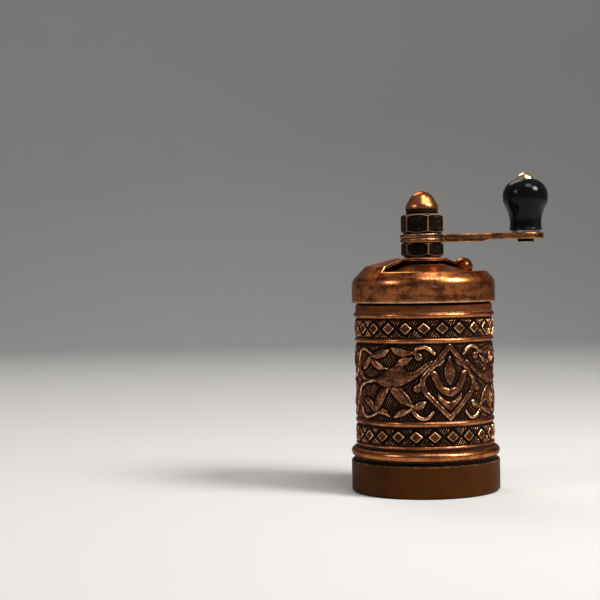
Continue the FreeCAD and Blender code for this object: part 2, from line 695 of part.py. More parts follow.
def make_crank_knob():
    """The pear-shaped grip, turned from tangent arcs, with a bore for the rivet."""
    belly_z = knob_z + knob_belly_rise
    neck_z = knob_z + knob_neck_rise
    foot_z = knob_z + knob_foot_height
    swell = knob_belly_radius - knob_neck_radius
    waist_arc = (swell ** 2 + (belly_z - neck_z) ** 2) / (2 * swell) - knob_belly_arc
    belly_centre = at(knob_belly_radius - knob_belly_arc, belly_z)
    waist_centre = at(knob_neck_radius + waist_arc, neck_z)
    towards = (waist_centre - belly_centre).normalize()
    flow = belly_centre + towards * knob_belly_arc
    flow_angle = math.atan2(flow.z - belly_z, flow.x - belly_centre.x)
    belly_mid = belly_centre + at(math.cos(flow_angle / 2), math.sin(flow_angle / 2)) * knob_belly_arc
    foot_in = waist_centre.x - math.sqrt(waist_arc ** 2 - (neck_z - foot_z) ** 2)
    crown_rise = knob_top - belly_z
    top_step = knob_belly_radius - knob_top_radius
    crown_arc = (top_step ** 2 + crown_rise ** 2) / (2 * top_step)
    crown_centre = at(knob_belly_radius - crown_arc, belly_z)
    crown_angle = math.atan2(crown_rise, knob_top_radius - crown_centre.x)
    crown_mid = crown_centre + at(math.cos(crown_angle / 2), math.sin(crown_angle / 2)) * crown_arc
    bore = rivet_radius + slip_fit
    knob = turned(at(bore, knob_z), at(foot_in, knob_z),
                  (at(knob_foot_radius, (knob_z + foot_z) / 2), at(foot_in, foot_z)),
                  (at(knob_neck_radius, neck_z), flow),
                  (belly_mid, at(knob_belly_radius, belly_z)),
                  (crown_mid, at(knob_top_radius, knob_top)), at(bore, knob_top))
    knob.translate(Vector(crank_throw, 0, 0))
    return knob


def make_knob_rivet():
    """The domed rivet on which the knob turns, with its shank peened in the crank."""
    cap_z = knob_top + face_gap
    bow_radius = (rivet_cap_radius ** 2 + rivet_cap_height ** 2) / (2 * rivet_cap_height)
    bow_centre_z = cap_z + rivet_cap_height - bow_radius
    half_turn = (math.atan2(cap_z - bow_centre_z, rivet_cap_radius) + math.pi / 2) / 2
    bow_mid = at(bow_radius * math.cos(half_turn), bow_centre_z + bow_radius * math.sin(half_turn))
    tail_z = crank_end_z - rivet_tail_height
    rivet = turned(at(0, tail_z), at(rivet_radius, tail_z), at(rivet_radius, cap_z),
                   at(rivet_cap_radius, cap_z), (bow_mid, at(0, cap_z + rivet_cap_height)))
    rivet.translate(Vector(crank_throw, 0, 0))
    return rivet


def make_knob_ring(radius, z_low, z_high):
    """A plain ring on the knob rivet."""
    ring = rod(radius, z_low, z_high, crank_throw)
    return ring.cut(rod(rivet_radius + press_gap, z_low, z_high, crank_throw))


def tooth_cutter(foot, head, depth, slant_deg):
    """A V-shaped cutter along a slanted line on a cone, from one profile point to another."""
    start_angle = -math.radians(slant_deg) / 2
    line = []
    for point, angle in ((foot, start_angle), (head, -start_angle)):
        line.append(Vector(point.x * math.cos(angle), point.x * math.sin(angle), point.z))
    run = (line[1] - line[0]).normalize()
    line[0] = line[0] - run * depth
    line[1] = line[1] + run * depth
    radial = Vector(1, 0, 0)
    side = run.cross(radial).normalize() * depth
    radial = side.cross(run).normalize() * depth
    outline = [line[0] + radial, line[0] + side, line[0] - radial, line[0] - side, line[0] + radial]
    return Part.Face(Part.makePolygon(outline)).extrude(line[1] - line[0])


def toothed(blank, foot, head, teeth, slant_deg):
    """Cut evenly spaced slanted teeth into a burr."""
    cutter = tooth_cutter(foot, head, tooth_depth, slant_deg)
    return blank.cut([around(cutter, 360 * index / teeth) for index in range(teeth)])


def make_burr_stator():
    """The fixed burr ring: a sleeve in the casting's seat, with a flange for its screws."""
    throat_z = stator_foot_z + stator_throat_rise
    flange = spigot_bore - stator_gap
    blank = turned(at(stator_foot_radius, stator_foot_z), at(flange, stator_foot_z),
                   at(flange, stator_flange_top), at(stator_radius, stator_flange_top),
                   at(stator_radius, bridge_z), at(stator_mouth_radius, bridge_z),
                   at(stator_throat_radius, throat_z))
    hole = rod(screw_radius + slip_fit, stator_foot_z, stator_flange_top, screw_circle)
    blank = blank.cut(screw_copies(hole))
    return toothed(blank, at(stator_foot_radius, stator_foot_z), at(stator_throat_radius, throat_z),
                   stator_teeth, -tooth_slant_deg)


def make_burr_rotor():
    """The turning burr: a toothed cone with a square hole and a pocket for its spring."""
    flare = (stator_foot_radius - stator_throat_radius) / stator_throat_rise
    throat = stator_throat_radius - burr_gap
    foot = throat + flare * (rotor_throat_z - rotor_z)
    blank = turned(at(0, rotor_z), at(foot, rotor_z), at(throat, rotor_throat_z),
                   at(rotor_nose_radius, rotor_top), at(rotor_pocket_radius, rotor_top),
                   at(rotor_pocket_radius, rotor_pocket_z), at(0, rotor_pocket_z))
    relief_top = shaft_square_z + adjust_coarse_travel + face_gap
    blank = blank.cut([square_bar(shaft_square + 2 * slip_fit, rotor_z, rotor_top),
                       rod(shaft_thread_radius + slip_fit, rotor_z, relief_top)])
    return toothed(blank, at(foot, rotor_z), at(throat, rotor_throat_z), rotor_teeth, tooth_slant_deg)


def make_stator_screws():
    """The slotted screws that hold the stator, as separate solids."""
    head_z = stator_foot_z - screw_head_height
    screw = rod(screw_head_radius, head_z, stator_foot_z, screw_circle)
    screw = screw.fuse(rod(screw_radius, stator_foot_z, stator_flange_top + screw_length, screw_circle))
    slot = Part.makeBox(2 * screw_head_radius, screw_slot_width, screw_slot_depth,
                        Vector(screw_circle - screw_head_radius, -screw_slot_width / 2, head_z))
    return screw_copies(screw.removeSplitter().cut(slot))


def make_bearing_bridge():
    """The spoked plate above the burr that carries the shaft's lower bush."""
    rim = rod(stator_radius, bridge_z, ledge_z).cut(rod(stator_radius - bridge_rim_width, bridge_z, ledge_z))
    reach = stator_radius - bridge_rim_width / 2
    arm = Part.makeBox(reach, bridge_arm_width, bridge_height, Vector(0, -bridge_arm_width / 2, bridge_z))
    arms = [around(arm, 360 * index / bridge_arms) for index in range(bridge_arms)]
    bridge = rim.fuse(arms + [rod(bridge_hub_radius, bridge_z, ledge_z)]).removeSplitter()
    return bridge.cut(rod(bearing_radius + press_gap, bridge_z, ledge_z))


def make_shaft_bearing():
    """The flanged lower bush in the bridge."""
    bore = shaft_radius + slip_fit
    top = ledge_z + bearing_above
    return turned(at(bore, bearing_z), at(bridge_hub_radius, bearing_z), at(bridge_hub_radius, bridge_z),
                  at(bearing_radius, bridge_z), at(bearing_radius, top), at(bore, top))


def make_burr_spring():
    """The helical spring that keeps the rotor down on its adjusting nut."""
    low = rotor_pocket_z + burr_spring_wire + spring_end_gap
    high = bearing_z - burr_spring_wire - 2 * spring_end_gap
    pitch = (high - low) / burr_spring_turns
    helix = Part.makeLongHelix(pitch, high - low, burr_spring_radius)
    helix.translate(Vector(0, 0, low))
    climb = math.atan2(pitch, 2 * math.pi * burr_spring_radius)
    along = Vector(0, math.cos(climb), math.sin(climb))
    section = Part.makeCircle(burr_spring_wire, at(burr_spring_radius, low), along)
    return Part.Wire(helix.Edges).makePipeShell([Part.Wire(section)], True, True)


def make_adjust_washer():
    """The thrust washer between the rotor and the adjusting nut."""
    return rod(adjust_washer_radius, adjust_washer_z, rotor_z).cut(
        rod(shaft_thread_radius + slip_fit, adjust_washer_z, rotor_z))


def make_adjusting_nut():
    """The fluted thumb nut that sets the grind."""
    nut = rod(adjust_nut_radius, adjust_nut_z, adjust_nut_top)
    flute = rod(adjust_grip_radius, adjust_nut_z, adjust_nut_top, adjust_nut_radius)
    flutes = [around(flute, 360 * index / adjust_nut_grips) for index in range(adjust_nut_grips)]
    return nut.cut(flutes).cut(rod(shaft_thread_radius + slip_fit, adjust_nut_z, adjust_nut_top))


def make_retaining_clip():
    """The split clip in the shaft's groove, which stops the nut from coming off."""
    ring = rod(clip_radius, clip_z, clip_top)
    ring = ring.cut(rod(shaft_thread_radius - clip_groove_depth + press_gap, clip_z, clip_top))
    return ring.cut(sector(2 * clip_radius, clip_z, clip_top, -clip_mouth_deg / 2, clip_mouth_deg / 2))


pieces = {
    "base_cap": make_base_cap(),
    "body_casting": make_body_casting(),
    "dome_cover": make_dome_cover(),
    "top_bush": make_top_bush(),
    "bush_nut": make_bush_nut(),
    "shutter_plate": make_shutter_plate(),
    "shutter_knob": make_shutter_knob(),
    "shutter_spring": make_shutter_spring(),
    "drive_shaft": make_drive_shaft(),
    "lock_nut": make_lock_nut(),
    "crank_washer": make_crank_washer(),
    "crank_arm": make_crank_arm(),
    "acorn_nut": make_acorn_nut(),
    "crank_knob": make_crank_knob(),
    "knob_rivet": make_knob_rivet(),
    "knob_washer": make_knob_ring(knob_washer_radius, crank_top, crank_top + knob_washer_height),
    "rivet_collar": make_knob_ring(rivet_tail_radius, crank_end_z - rivet_tail_height, crank_end_z),
    "bearing_bridge": make_bearing_bridge(),
    "shaft_bearing": make_shaft_bearing(),
    "burr_stator": make_burr_stator(),
    "stator_screws": make_stator_screws(),
    "burr_rotor": make_burr_rotor(),
    "burr_spring": make_burr_spring(),
    "adjust_washer": make_adjust_washer(),
    "adjusting_nut": make_adjusting_nut(),
    "retaining_clip": make_retaining_clip(),
}

os.makedirs("parts", exist_ok=True)
for node, shape in pieces.items():
    shape.exportStep(f"parts/{node}.step")
    box = shape.BoundBox
    print(f"{node}: {len(shape.Solids)} solid(s), valid {shape.isValid()}, {shape.Volume:.1f} mm3, "
          f"z {box.ZMin:.2f} to {box.ZMax:.2f}")
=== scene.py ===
import logging
import math
from dataclasses import dataclass
from enum import Enum

import bmesh
import bpy
import numpy as np
from mathutils import Matrix, Vector


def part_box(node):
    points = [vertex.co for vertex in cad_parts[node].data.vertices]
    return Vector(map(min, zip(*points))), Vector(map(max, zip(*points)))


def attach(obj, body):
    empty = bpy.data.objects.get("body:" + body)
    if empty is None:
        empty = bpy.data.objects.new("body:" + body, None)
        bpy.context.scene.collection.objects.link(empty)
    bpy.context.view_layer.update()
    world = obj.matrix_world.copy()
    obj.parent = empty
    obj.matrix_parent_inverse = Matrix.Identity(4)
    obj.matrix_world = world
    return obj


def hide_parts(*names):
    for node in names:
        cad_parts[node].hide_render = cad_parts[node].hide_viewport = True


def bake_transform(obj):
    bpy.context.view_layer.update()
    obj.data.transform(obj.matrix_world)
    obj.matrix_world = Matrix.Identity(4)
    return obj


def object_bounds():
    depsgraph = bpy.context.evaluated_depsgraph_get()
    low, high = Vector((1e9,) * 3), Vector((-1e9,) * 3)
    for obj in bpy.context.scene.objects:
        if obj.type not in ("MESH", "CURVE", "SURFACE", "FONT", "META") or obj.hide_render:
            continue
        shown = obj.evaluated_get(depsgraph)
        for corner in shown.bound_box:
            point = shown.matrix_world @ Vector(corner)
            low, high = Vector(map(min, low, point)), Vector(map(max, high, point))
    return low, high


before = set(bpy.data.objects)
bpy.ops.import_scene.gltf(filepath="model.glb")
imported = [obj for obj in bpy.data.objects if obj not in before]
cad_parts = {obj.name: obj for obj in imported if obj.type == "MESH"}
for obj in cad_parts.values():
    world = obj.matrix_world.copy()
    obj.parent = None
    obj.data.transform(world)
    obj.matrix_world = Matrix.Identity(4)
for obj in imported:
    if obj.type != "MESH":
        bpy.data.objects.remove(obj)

# Looks of a small hand-cranked pepper mill in antique copper.
# Lengths are metres, and millimetres in the classes that say so.

CAD_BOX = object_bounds()
MM = 0.001
TINY = 1e-12
LOG = logging.getLogger("pepper_mill")

Colour = tuple[float, float, float]
Point = tuple[float, float]
Band = tuple[float, float]
Slice = tuple[float, float, float]

BAND_RADIUS_MM = 16.95
# Near-black colour: sooty patina, and painted shade in grooves, under rings and in the relief's ground.
SOOT_AND_SHADE: Colour = (0.006, 0.004, 0.003)
GRAZING_COPPER: Colour = (0.42, 0.26, 0.17)


class Body(Enum):
    """The moving bodies; only the housing carries new pieces here."""

    HOUSING = "housing"
    CRANK_SHAFT = "crank_shaft"
    INNER_BURR = "inner_burr"


class Slot(Enum):
    """Material slot names for the new pieces; nothing in this script uses them."""

    COPPER = "antique_copper"
    SPRING = "spring_steel"


@dataclass(frozen=True)
class Grain:
    """A noise pattern: grains per metre, octaves, strength of the finer ones, and factors level and up."""

    scale: float
    octaves: float
    rough: float
    stretch: Point | None = None


class NodeSketch:
    """A material's node tree around one Principled shader."""

    hollow_samples = 8
    edge_samples = 6
    edge_band: Band = (0.997, 0.90)

    def __init__(self, name: str) -> None:
        """Start a material with a bare shader.

        Args:
            name: The material's name.
        """
        self.material = bpy.data.materials.new(name)
        self.material.use_nodes = True
        self.tree = self.material.node_tree
        self.tree.nodes.clear()
        output = self.tree.nodes.new("ShaderNodeOutputMaterial")
        self.shader = self.tree.nodes.new("ShaderNodeBsdfPrincipled")
        self.tree.links.new(self.shader.outputs["BSDF"], output.inputs["Surface"])
        self.place = self.tree.nodes.new("ShaderNodeTexCoord").outputs["Object"]
        self.rounded: bpy.types.NodeSocket | None = None

    def feed(self, socket: bpy.types.NodeSocket, value: object) -> None:
        """Link a socket to another, or set its value.

        Args:
            socket: The input to fill.
            value: Another node's output, a number or a colour.
        """
        if isinstance(value, bpy.types.NodeSocket):
            self.tree.links.new(value, socket)
        elif isinstance(value, tuple) and len(value) == 3 and socket.type == "RGBA":
            socket.default_value = (*value, 1.0)
        else:
            socket.default_value = value

    def add(self, kind: str, inputs: dict, **settings: object) -> bpy.types.Node:
        """Add a node.

        Args:
            kind: The node's type name.
            inputs: Values or links by input name or index.
            settings: The node's own properties.

        Returns:
            The new node.
        """
        node = self.tree.nodes.new(kind)
        for key, value in settings.items():
            setattr(node, key, value)
        for key, value in inputs.items():
            self.feed(node.inputs[key], value)
        return node

    def noise(self, grain: Grain) -> bpy.types.NodeSocket:
        """A noise pattern on the object's own place.

        Args:
            grain: The pattern.

        Returns:
            The noise value.
        """
        place = self.place
        if grain.stretch:
            across, along = grain.stretch
            factors = {"Vector": place, "Scale": (across, across, along)}
            place = self.add("ShaderNodeMapping", factors).outputs[0]
        inputs = {"Vector": place, "Scale": grain.scale, "Detail": grain.octaves, "Roughness": grain.rough}
        return self.add("ShaderNodeTexNoise", inputs).outputs["Fac"]

    def span(self, value: object, band: Band, before: float = 0.0,
             after: float = 1.0) -> bpy.types.NodeSocket:
        """A smooth step from one value to another.

        Args:
            value: The number to map.
            band: Where the step starts and ends.
            before: The result before the step.
            after: The result after the step.

        Returns:
            The mapped number.
        """
        start, end = band
        inputs = {"Value": value, "From Min": start, "From Max": end, "To Min": before, "To Max": after}
        return self.add("ShaderNodeMapRange", inputs, interpolation_type="SMOOTHSTEP").outputs["Result"]

    def sum(self, first: object, second: object, how: str = "ADD") -> bpy.types.NodeSocket:
        """Join two numbers.

        Args:
            first: The first number.
            second: The second number.
            how: The operation's name.

        Returns:
            The result, kept between 0 and 1.
        """
        return self.add("ShaderNodeMath", {0: first, 1: second}, operation=how, use_clamp=True).outputs[0]

    def mix(self, share: object, first: object, second: object) -> bpy.types.NodeSocket:
        """Blend two colours.

        Args:
            share: The second colour's share.
            first: The first colour.
            second: The second colour.

        Returns:
            The blended colour.
        """
        node = self.add("ShaderNodeMix", {0: share}, data_type="RGBA")
        self.feed(node.inputs[6], first)
        self.feed(node.inputs[7], second)
        return node.outputs[2]

    def ramp(self, value: object, *stops: tuple[float, Colour]) -> bpy.types.NodeSocket:
        """A colour ramp.

        Args:
            value: The number that picks the colour.
            stops: Places and colours, in order.

        Returns:
            The picked colour.
        """
        node = self.add("ShaderNodeValToRGB", {"Fac": value})
        elements = node.color_ramp.elements
        while len(elements) < len(stops):
            elements.new(1.0)
        for element, (place, colour) in zip(elements, stops):
            element.position = place
            element.color = (*colour, 1.0)
        return node.outputs["Color"]

    def bump(self, height: object, depth: float, strength: float = 1.0) -> None:
        """Roughen the shader's normal.

        Args:
            height: The pattern.
            depth: The pattern's depth in metres.
            strength: The share of it that shows.
        """
        node = self.add("ShaderNodeBump", {"Height": height, "Distance": depth, "Strength": strength})
        if self.rounded:
            self.feed(node.inputs["Normal"], self.rounded)
        self.feed(self.shader.inputs["Normal"], node.outputs["Normal"])

    def hollows(self, reach: float) -> bpy.types.NodeSocket:
        """How open a spot is: 0 in a groove and 1 in the open, within a reach in metres."""
        node = self.add("ShaderNodeAmbientOcclusion", {"Distance": reach}, samples=self.hollow_samples)
        return node.outputs["AO"]

    def edges(self, radius: float) -> bpy.types.NodeSocket:
        """How near a spot is to a sharp edge. Later bumps lie on that edge's rounding.

        Args:
            radius: The reach from the edge in metres.

        Returns:
            0 on a face, rising to 1 at its edge.
        """
        self.rounded = self.add("ShaderNodeBevel", {"Radius": radius}, samples=self.edge_samples).outputs[0]
        plain = self.add("ShaderNodeNewGeometry", {}).outputs["Normal"]
        match = self.add("ShaderNodeVectorMath", {0: self.rounded, 1: plain}, operation="DOT_PRODUCT")
        return self.span(match.outputs["Value"], self.edge_band)

    def slice(self, foot: float, head: float, blend: float = 0.00015) -> bpy.types.NodeSocket:
        """Which spots lie in a level slice of the piece.

        Args:
            foot: The slice's lower end in metres.
            head: Its upper end.
            blend: Half the depth of its soft ends.

        Returns:
            1 within the slice and 0 elsewhere.
        """
        level = self.add("ShaderNodeSeparateXYZ", {0: self.place}).outputs["Z"]
        above = self.span(level, (foot - blend, foot + blend))
        below = self.span(level, (head - blend, head + blend), 1.0, 0.0)
        return self.sum(above, below, "MULTIPLY")

    def surface(self, **values: object) -> bpy.types.Material:
        """Fill the shader's inputs and close the sketch.

        Args:
            values: Shader inputs, with _ for the spaces of their names.

        Returns:
            The finished material.
        """
        for name, value in values.items():
            self.feed(self.shader.inputs[name.replace("_", " ")], value)
        return self.material


@dataclass(frozen=True)
class TurnedCopper:
    """Antique copper on smooth turned pieces: mottled, darkened in grooves by sooty patina and painted shade,
    and bright on worn edges.

    Zones are level slices of the piece, each with its foot, its head and its share of painted shade.
    Painted-highlight slices have a share of the worn colour instead, a painted highlight along an edge. A
    band is where an effect sets in along a pattern's values.
    """

    name: str
    worn: Colour = (0.90, 0.52, 0.28)
    body: Colour = (0.54, 0.180, 0.052)
    stain: Colour = (0.20, 0.060, 0.019)
    soot_and_shade: Colour = SOOT_AND_SHADE
    grazing: Colour = GRAZING_COPPER
    gloss: float = 0.20
    groove_reach: float = 0.0014
    edge_reach: float = 0.0004
    lacquer: float = 0.35
    smeared: float = 0.7
    scuffed: float = 0.0
    zones: tuple[Slice, ...] = ()
    painted_highlights: tuple[Slice, ...] = ()
    edges_through: bool = True
    mottle: Grain = Grain(300.0, 7.0, 0.70)
    grain: Grain = Grain(2600.0, 3.0, 0.6)
    smear: Grain = Grain(420.0, 5.0, 0.65, (0.30, 1.8))
    scuff: Grain = Grain(900.0, 6.0, 0.72, (0.45, 1.5))
    stain_band: Band = (0.42, 0.66)
    smear_band: Band = (0.44, 0.66)
    speck_band: Band = (0.54, 0.70)
    specks: float = 0.6
    groove_band: Band = (0.36, 0.74)
    chip_band: Band = (0.35, 0.6)
    chip_least: float = 0.5
    scuff_band: Band = (0.57, 0.70)
    shade_mottle_band: Band = (0.40, 0.62)
    highlight_band: Band = (0.38, 0.60)
    highlight_least: float = 0.25
    highlight_blend: float = 0.0001
    rough_band: Band = (0.3, 0.7)
    rough_rise: float = 0.18
    groove_rough: float = 0.3
    grain_depth: float = 0.00002
    grain_strength: float = 0.5
    stain_dulling: float = 0.3
    lacquer_band: Band = (0.0, 0.8)
    lacquer_rough: float = 0.16
    specular: float = 0.06

    def build(self) -> bpy.types.Material:
        """Make the material.

        Returns:
            The finished copper.
        """
        sketch = NodeSketch(self.name)
        mottle = sketch.noise(self.mottle)
        grain = sketch.noise(self.grain)
        smear = sketch.noise(self.smear)
        blotch = sketch.span(mottle, self.stain_band)
        blotch = sketch.sum(blotch, sketch.span(smear, self.smear_band, 0.0, self.smeared))
        stained = sketch.sum(blotch, sketch.span(grain, self.speck_band, 0.0, self.specks))
        colour = sketch.mix(stained, self.body, self.stain)
        # Ambient occlusion darkens the grooves: partly sooty patina, partly painted shade.
        groove = sketch.span(sketch.hollows(self.groove_reach), self.groove_band, 1.0, 0.0)
        chips = sketch.span(grain, self.chip_band, self.chip_least, 1.0)
        edge = sketch.sum(sketch.edges(self.edge_reach), chips, "MULTIPLY")
        if self.scuffed:
            scuff = sketch.noise(self.scuff)
            edge = sketch.sum(edge, sketch.span(scuff, self.scuff_band, 0.0, self.scuffed))
        edge = sketch.sum(edge, groove, "SUBTRACT")
        # Painted shade: each zone darkens its level slice towards near-black, mottled.
        for foot, head, share in self.zones:
            soot_and_shade = sketch.span(mottle, self.shade_mottle_band, share, share * max(2 * share - 1, 0.0))
            zone = sketch.sum(sketch.slice(foot, head), soot_and_shade, "MULTIPLY")
            groove = sketch.sum(groove, zone)
            if not self.edges_through:
                edge = sketch.sum(edge, zone, "SUBTRACT")
        # Painted highlights: each slice lightens a thin level band towards the worn colour, mottled.
        for foot, head, share in self.painted_highlights:
            wear = sketch.span(mottle, self.highlight_band, share, self.highlight_least * share)
            zone = sketch.slice(foot, head, self.highlight_blend)
            edge = sketch.sum(edge, sketch.sum(zone, wear, "MULTIPLY"))
        # Grooves and zones turn near-black: sooty patina and painted shade.
        colour = sketch.mix(groove, colour, self.soot_and_shade)
        # The worn colour serves both the worn edges and the painted highlights.
        colour = sketch.mix(edge, colour, self.worn)
        rough = sketch.span(mottle, self.rough_band, self.gloss, self.gloss + self.rough_rise)
        rough = sketch.sum(rough, sketch.sum(groove, self.groove_rough, "MULTIPLY"))
        sketch.bump(grain, self.grain_depth, self.grain_strength)
        dulled = sketch.sum(groove, sketch.sum(blotch, self.stain_dulling, "MULTIPLY"))
        lacquer = sketch.span(dulled, self.lacquer_band, self.lacquer, 0.0)
        metal = sketch.span(groove, (0.0, 1.0), 1.0, 0.0)
        return sketch.surface(Base_Color=colour, Metallic=metal, Roughness=rough,
                              Specular_IOR_Level=self.specular, Specular_Tint=self.grazing,
                              Coat_Weight=lacquer, Coat_Roughness=self.lacquer_rough)


@dataclass(frozen=True)
class ReliefCopper:
    """Antique copper on the cast bands: bright on the raised work and sooty in its ground, with painted shade
    in the design's hollows and a painted shadow at each band's head.
    """

    name: str
    crest: Colour = (0.86, 0.45, 0.21)
    raised: Colour = (0.190, 0.063, 0.021)
    worn: Colour = (0.078, 0.027, 0.0098)
    flank: Colour = (0.028, 0.011, 0.005)
    ground: Colour = SOOT_AND_SHADE
    grazing: Colour = GRAZING_COPPER
    lacquer: float = 0.5
    mottle: Grain = Grain(620.0, 5.0, 0.65)
    grain: Grain = Grain(3000.0, 3.0, 0.6)
    colour_levels: tuple[float, ...] = (0.14, 0.32, 0.50, 0.76, 1.0)
    relief_share: float = 0.70
    wear_share: float = 0.40
    patch_band: Band = (0.38, 0.68)
    patch_depth: float = 0.30
    speck_band: Band = (0.58, 0.74)
    specks: float = 0.5
    rough_band: Band = (0.15, 0.85)
    rough_ground: float = 0.55
    rough_crest: float = 0.27
    grain_depth: float = 0.00002
    grain_strength: float = 0.4
    metal_band: Band = (0.15, 0.5)
    lacquer_band: Band = (0.35, 0.85)
    lacquer_rough: float = 0.2
    specular: float = 0.06

    def build(self) -> bpy.types.Material:
        """Make the material.

        Returns:
            The finished copper, which reads a mesh's relief and wear.
        """
        sketch = NodeSketch(self.name)
        relief = sketch.add("ShaderNodeAttribute", {}, attribute_name="relief").outputs["Fac"]
        wear = sketch.add("ShaderNodeAttribute", {}, attribute_name="wear").outputs["Fac"]
        mottle = sketch.noise(self.mottle)
        grain = sketch.noise(self.grain)
        level = sketch.sum(relief, self.relief_share, "MULTIPLY")
        patchy = sketch.sum(level, sketch.span(mottle, self.patch_band, 0.0, self.patch_depth), "SUBTRACT")
        height = sketch.sum(patchy, sketch.sum(wear, self.wear_share, "MULTIPLY"))
        colours = (self.ground, self.flank, self.worn, self.raised, self.crest)
        colour = sketch.ramp(height, *zip(self.colour_levels, colours))
        colour = sketch.mix(sketch.span(grain, self.speck_band, 0.0, self.specks), colour, self.flank)
        rough = sketch.span(height, self.rough_band, self.rough_ground, self.rough_crest)
        sketch.bump(grain, self.grain_depth, self.grain_strength)
        metal = sketch.span(height, self.metal_band, 0.0, 1.0)
        lacquer = sketch.span(height, self.lacquer_band, 0.0, self.lacquer)
        return sketch.surface(Base_Color=colour, Metallic=metal, Roughness=rough,
                              Specular_IOR_Level=self.specular, Specular_Tint=self.grazing,
                              Coat_Weight=lacquer, Coat_Roughness=self.lacquer_rough)


@dataclass(frozen=True)
class SatinPlastic:
    """The base cap's satin brown moulding, with a painted shadow on its ledge and a pale line along its rim
    that is partly wear, partly a painted highlight.
    """

    name: str
    ledge_level: float
    body: Colour = (0.062, 0.0185, 0.0026)
    shade: Colour = (0.042, 0.0125, 0.0019)
    ledge: Colour = (0.010, 0.005, 0.002)
    scuffed: Colour = (0.46, 0.27, 0.14)
    cloud: Grain = Grain(120.0, 4.0, 0.6)
    grain: Grain = Grain(5200.0, 2.0, 0.5)
    speckle: Grain = Grain(900.0, 4.0, 0.7)
    shade_band: Band = (0.35, 0.7)
    speckle_band: Band = (0.44, 0.60)
    far_above: float = 1.0
    ledge_blend: float = 0.00003
    line_drop: float = 0.0003
    line_blend: float = 0.0001
    line_reach: float = 0.00022
    rough_band: Band = (0.3, 0.7)
    rough_least: float = 0.44
    rough_most: float = 0.54
    grain_depth: float = 0.000012
    grain_strength: float = 0.6
    specular: float = 0.04

    def build(self) -> bpy.types.Material:
        """Make the material.

        Returns:
            The finished plastic.
        """
        sketch = NodeSketch(self.name)
        cloud = sketch.noise(self.cloud)
        grain = sketch.noise(self.grain)
        speckle = sketch.noise(self.speckle)
        colour = sketch.mix(sketch.span(cloud, self.shade_band), self.body, self.shade)
        # Painted shadow: the ledge's top face turns near-black.
        on_ledge = sketch.slice(self.ledge_level, self.far_above, self.ledge_blend)
        colour = sketch.mix(on_ledge, colour, self.ledge)
        # The pale rim line: partly worn plastic, partly a painted highlight on the rim's edge.
        near_rim = sketch.slice(self.ledge_level - self.line_drop, self.far_above, self.line_blend)
        line = sketch.sum(near_rim, sketch.edges(self.line_reach), "MULTIPLY")
        broken = sketch.sum(line, sketch.span(speckle, self.speckle_band), "MULTIPLY")
        colour = sketch.mix(broken, colour, self.scuffed)
        sketch.bump(grain, self.grain_depth, self.grain_strength)
        rough = sketch.span(cloud, self.rough_band, self.rough_least, self.rough_most)
        return sketch.surface(Base_Color=colour, Roughness=rough, Specular_IOR_Level=self.specular)


@dataclass(frozen=True)
class GlossBlack:
    """The grip's black lacquer, with faint handling marks."""

    name: str
    body: Colour = (0.003, 0.003, 0.0035)
    haze: Colour = (0.007, 0.0065, 0.0065)
    cloud: Grain = Grain(240.0, 4.0, 0.6)
    marks: Grain = Grain(900.0, 2.0, 0.5, (0.25, 3.0))
    haze_band: Band = (0.45, 0.75)
    rough_band: Band = (0.35, 0.7)
    rough_least: float = 0.10
    rough_most: float = 0.16
    mark_band: Band = (0.6, 0.75)
    mark_rough: float = 0.05
    mark_depth: float = 0.000004
    mark_strength: float = 0.4
    specular: float = 0.13

    def build(self) -> bpy.types.Material:
        """Make the material.

        Returns:
            The finished lacquer.
        """
        sketch = NodeSketch(self.name)
        cloud = sketch.noise(self.cloud)
        marks = sketch.noise(self.marks)
        colour = sketch.mix(sketch.span(cloud, self.haze_band), self.body, self.haze)
        rough = sketch.span(cloud, self.rough_band, self.rough_least, self.rough_most)
        rough = sketch.sum(rough, sketch.span(marks, self.mark_band, 0.0, self.mark_rough))
        sketch.bump(marks, self.mark_depth, self.mark_strength)
        return sketch.surface(Base_Color=colour, Roughness=rough, Specular_IOR_Level=self.specular)


@dataclass(frozen=True)
class PlainMetal:
    """A bare metal with a turned or drawn grain."""

    name: str
    bright: Colour
    dull: Colour
    gloss: float = 0.26
    cloud: Grain = Grain(350.0, 4.0, 0.6)
    grain: Grain = Grain(1500.0, 3.0, 0.55, (0.3, 3.0))
    cloud_band: Band = (0.35, 0.75)
    cloud_share: float = 0.7
    grain_band: Band = (0.45, 0.7)
    grain_share: float = 0.3
    grain_depth: float = 0.00001
    grain_strength: float = 0.5
    rough_band: Band = (0.3, 0.7)
    rough_drop: float = 0.05
    rough_rise: float = 0.12

    def build(self) -> bpy.types.Material:
        """Make the material.

        Returns:
            The finished metal.
        """
        sketch = NodeSketch(self.name)
        cloud = sketch.noise(self.cloud)
        grain = sketch.noise(self.grain)
        tint = sketch.sum(sketch.span(cloud, self.cloud_band, 0.0, self.cloud_share),
                          sketch.span(grain, self.grain_band, 0.0, self.grain_share))
        colour = sketch.mix(tint, self.bright, self.dull)
        sketch.bump(grain, self.grain_depth, self.grain_strength)
        rough = sketch.span(grain, self.rough_band, self.gloss - self.rough_drop,
                            self.gloss + self.rough_rise)
        return sketch.surface(Base_Color=colour, Metallic=1.0, Roughness=rough)


def ease(value: np.ndarray) -> np.ndarray:
    """A smooth step from 0 to 1 over the values 0 to 1."""
    clipped = np.clip(value, 0.0, 1.0)
    return clipped * clipped * (3.0 - 2.0 * clipped)


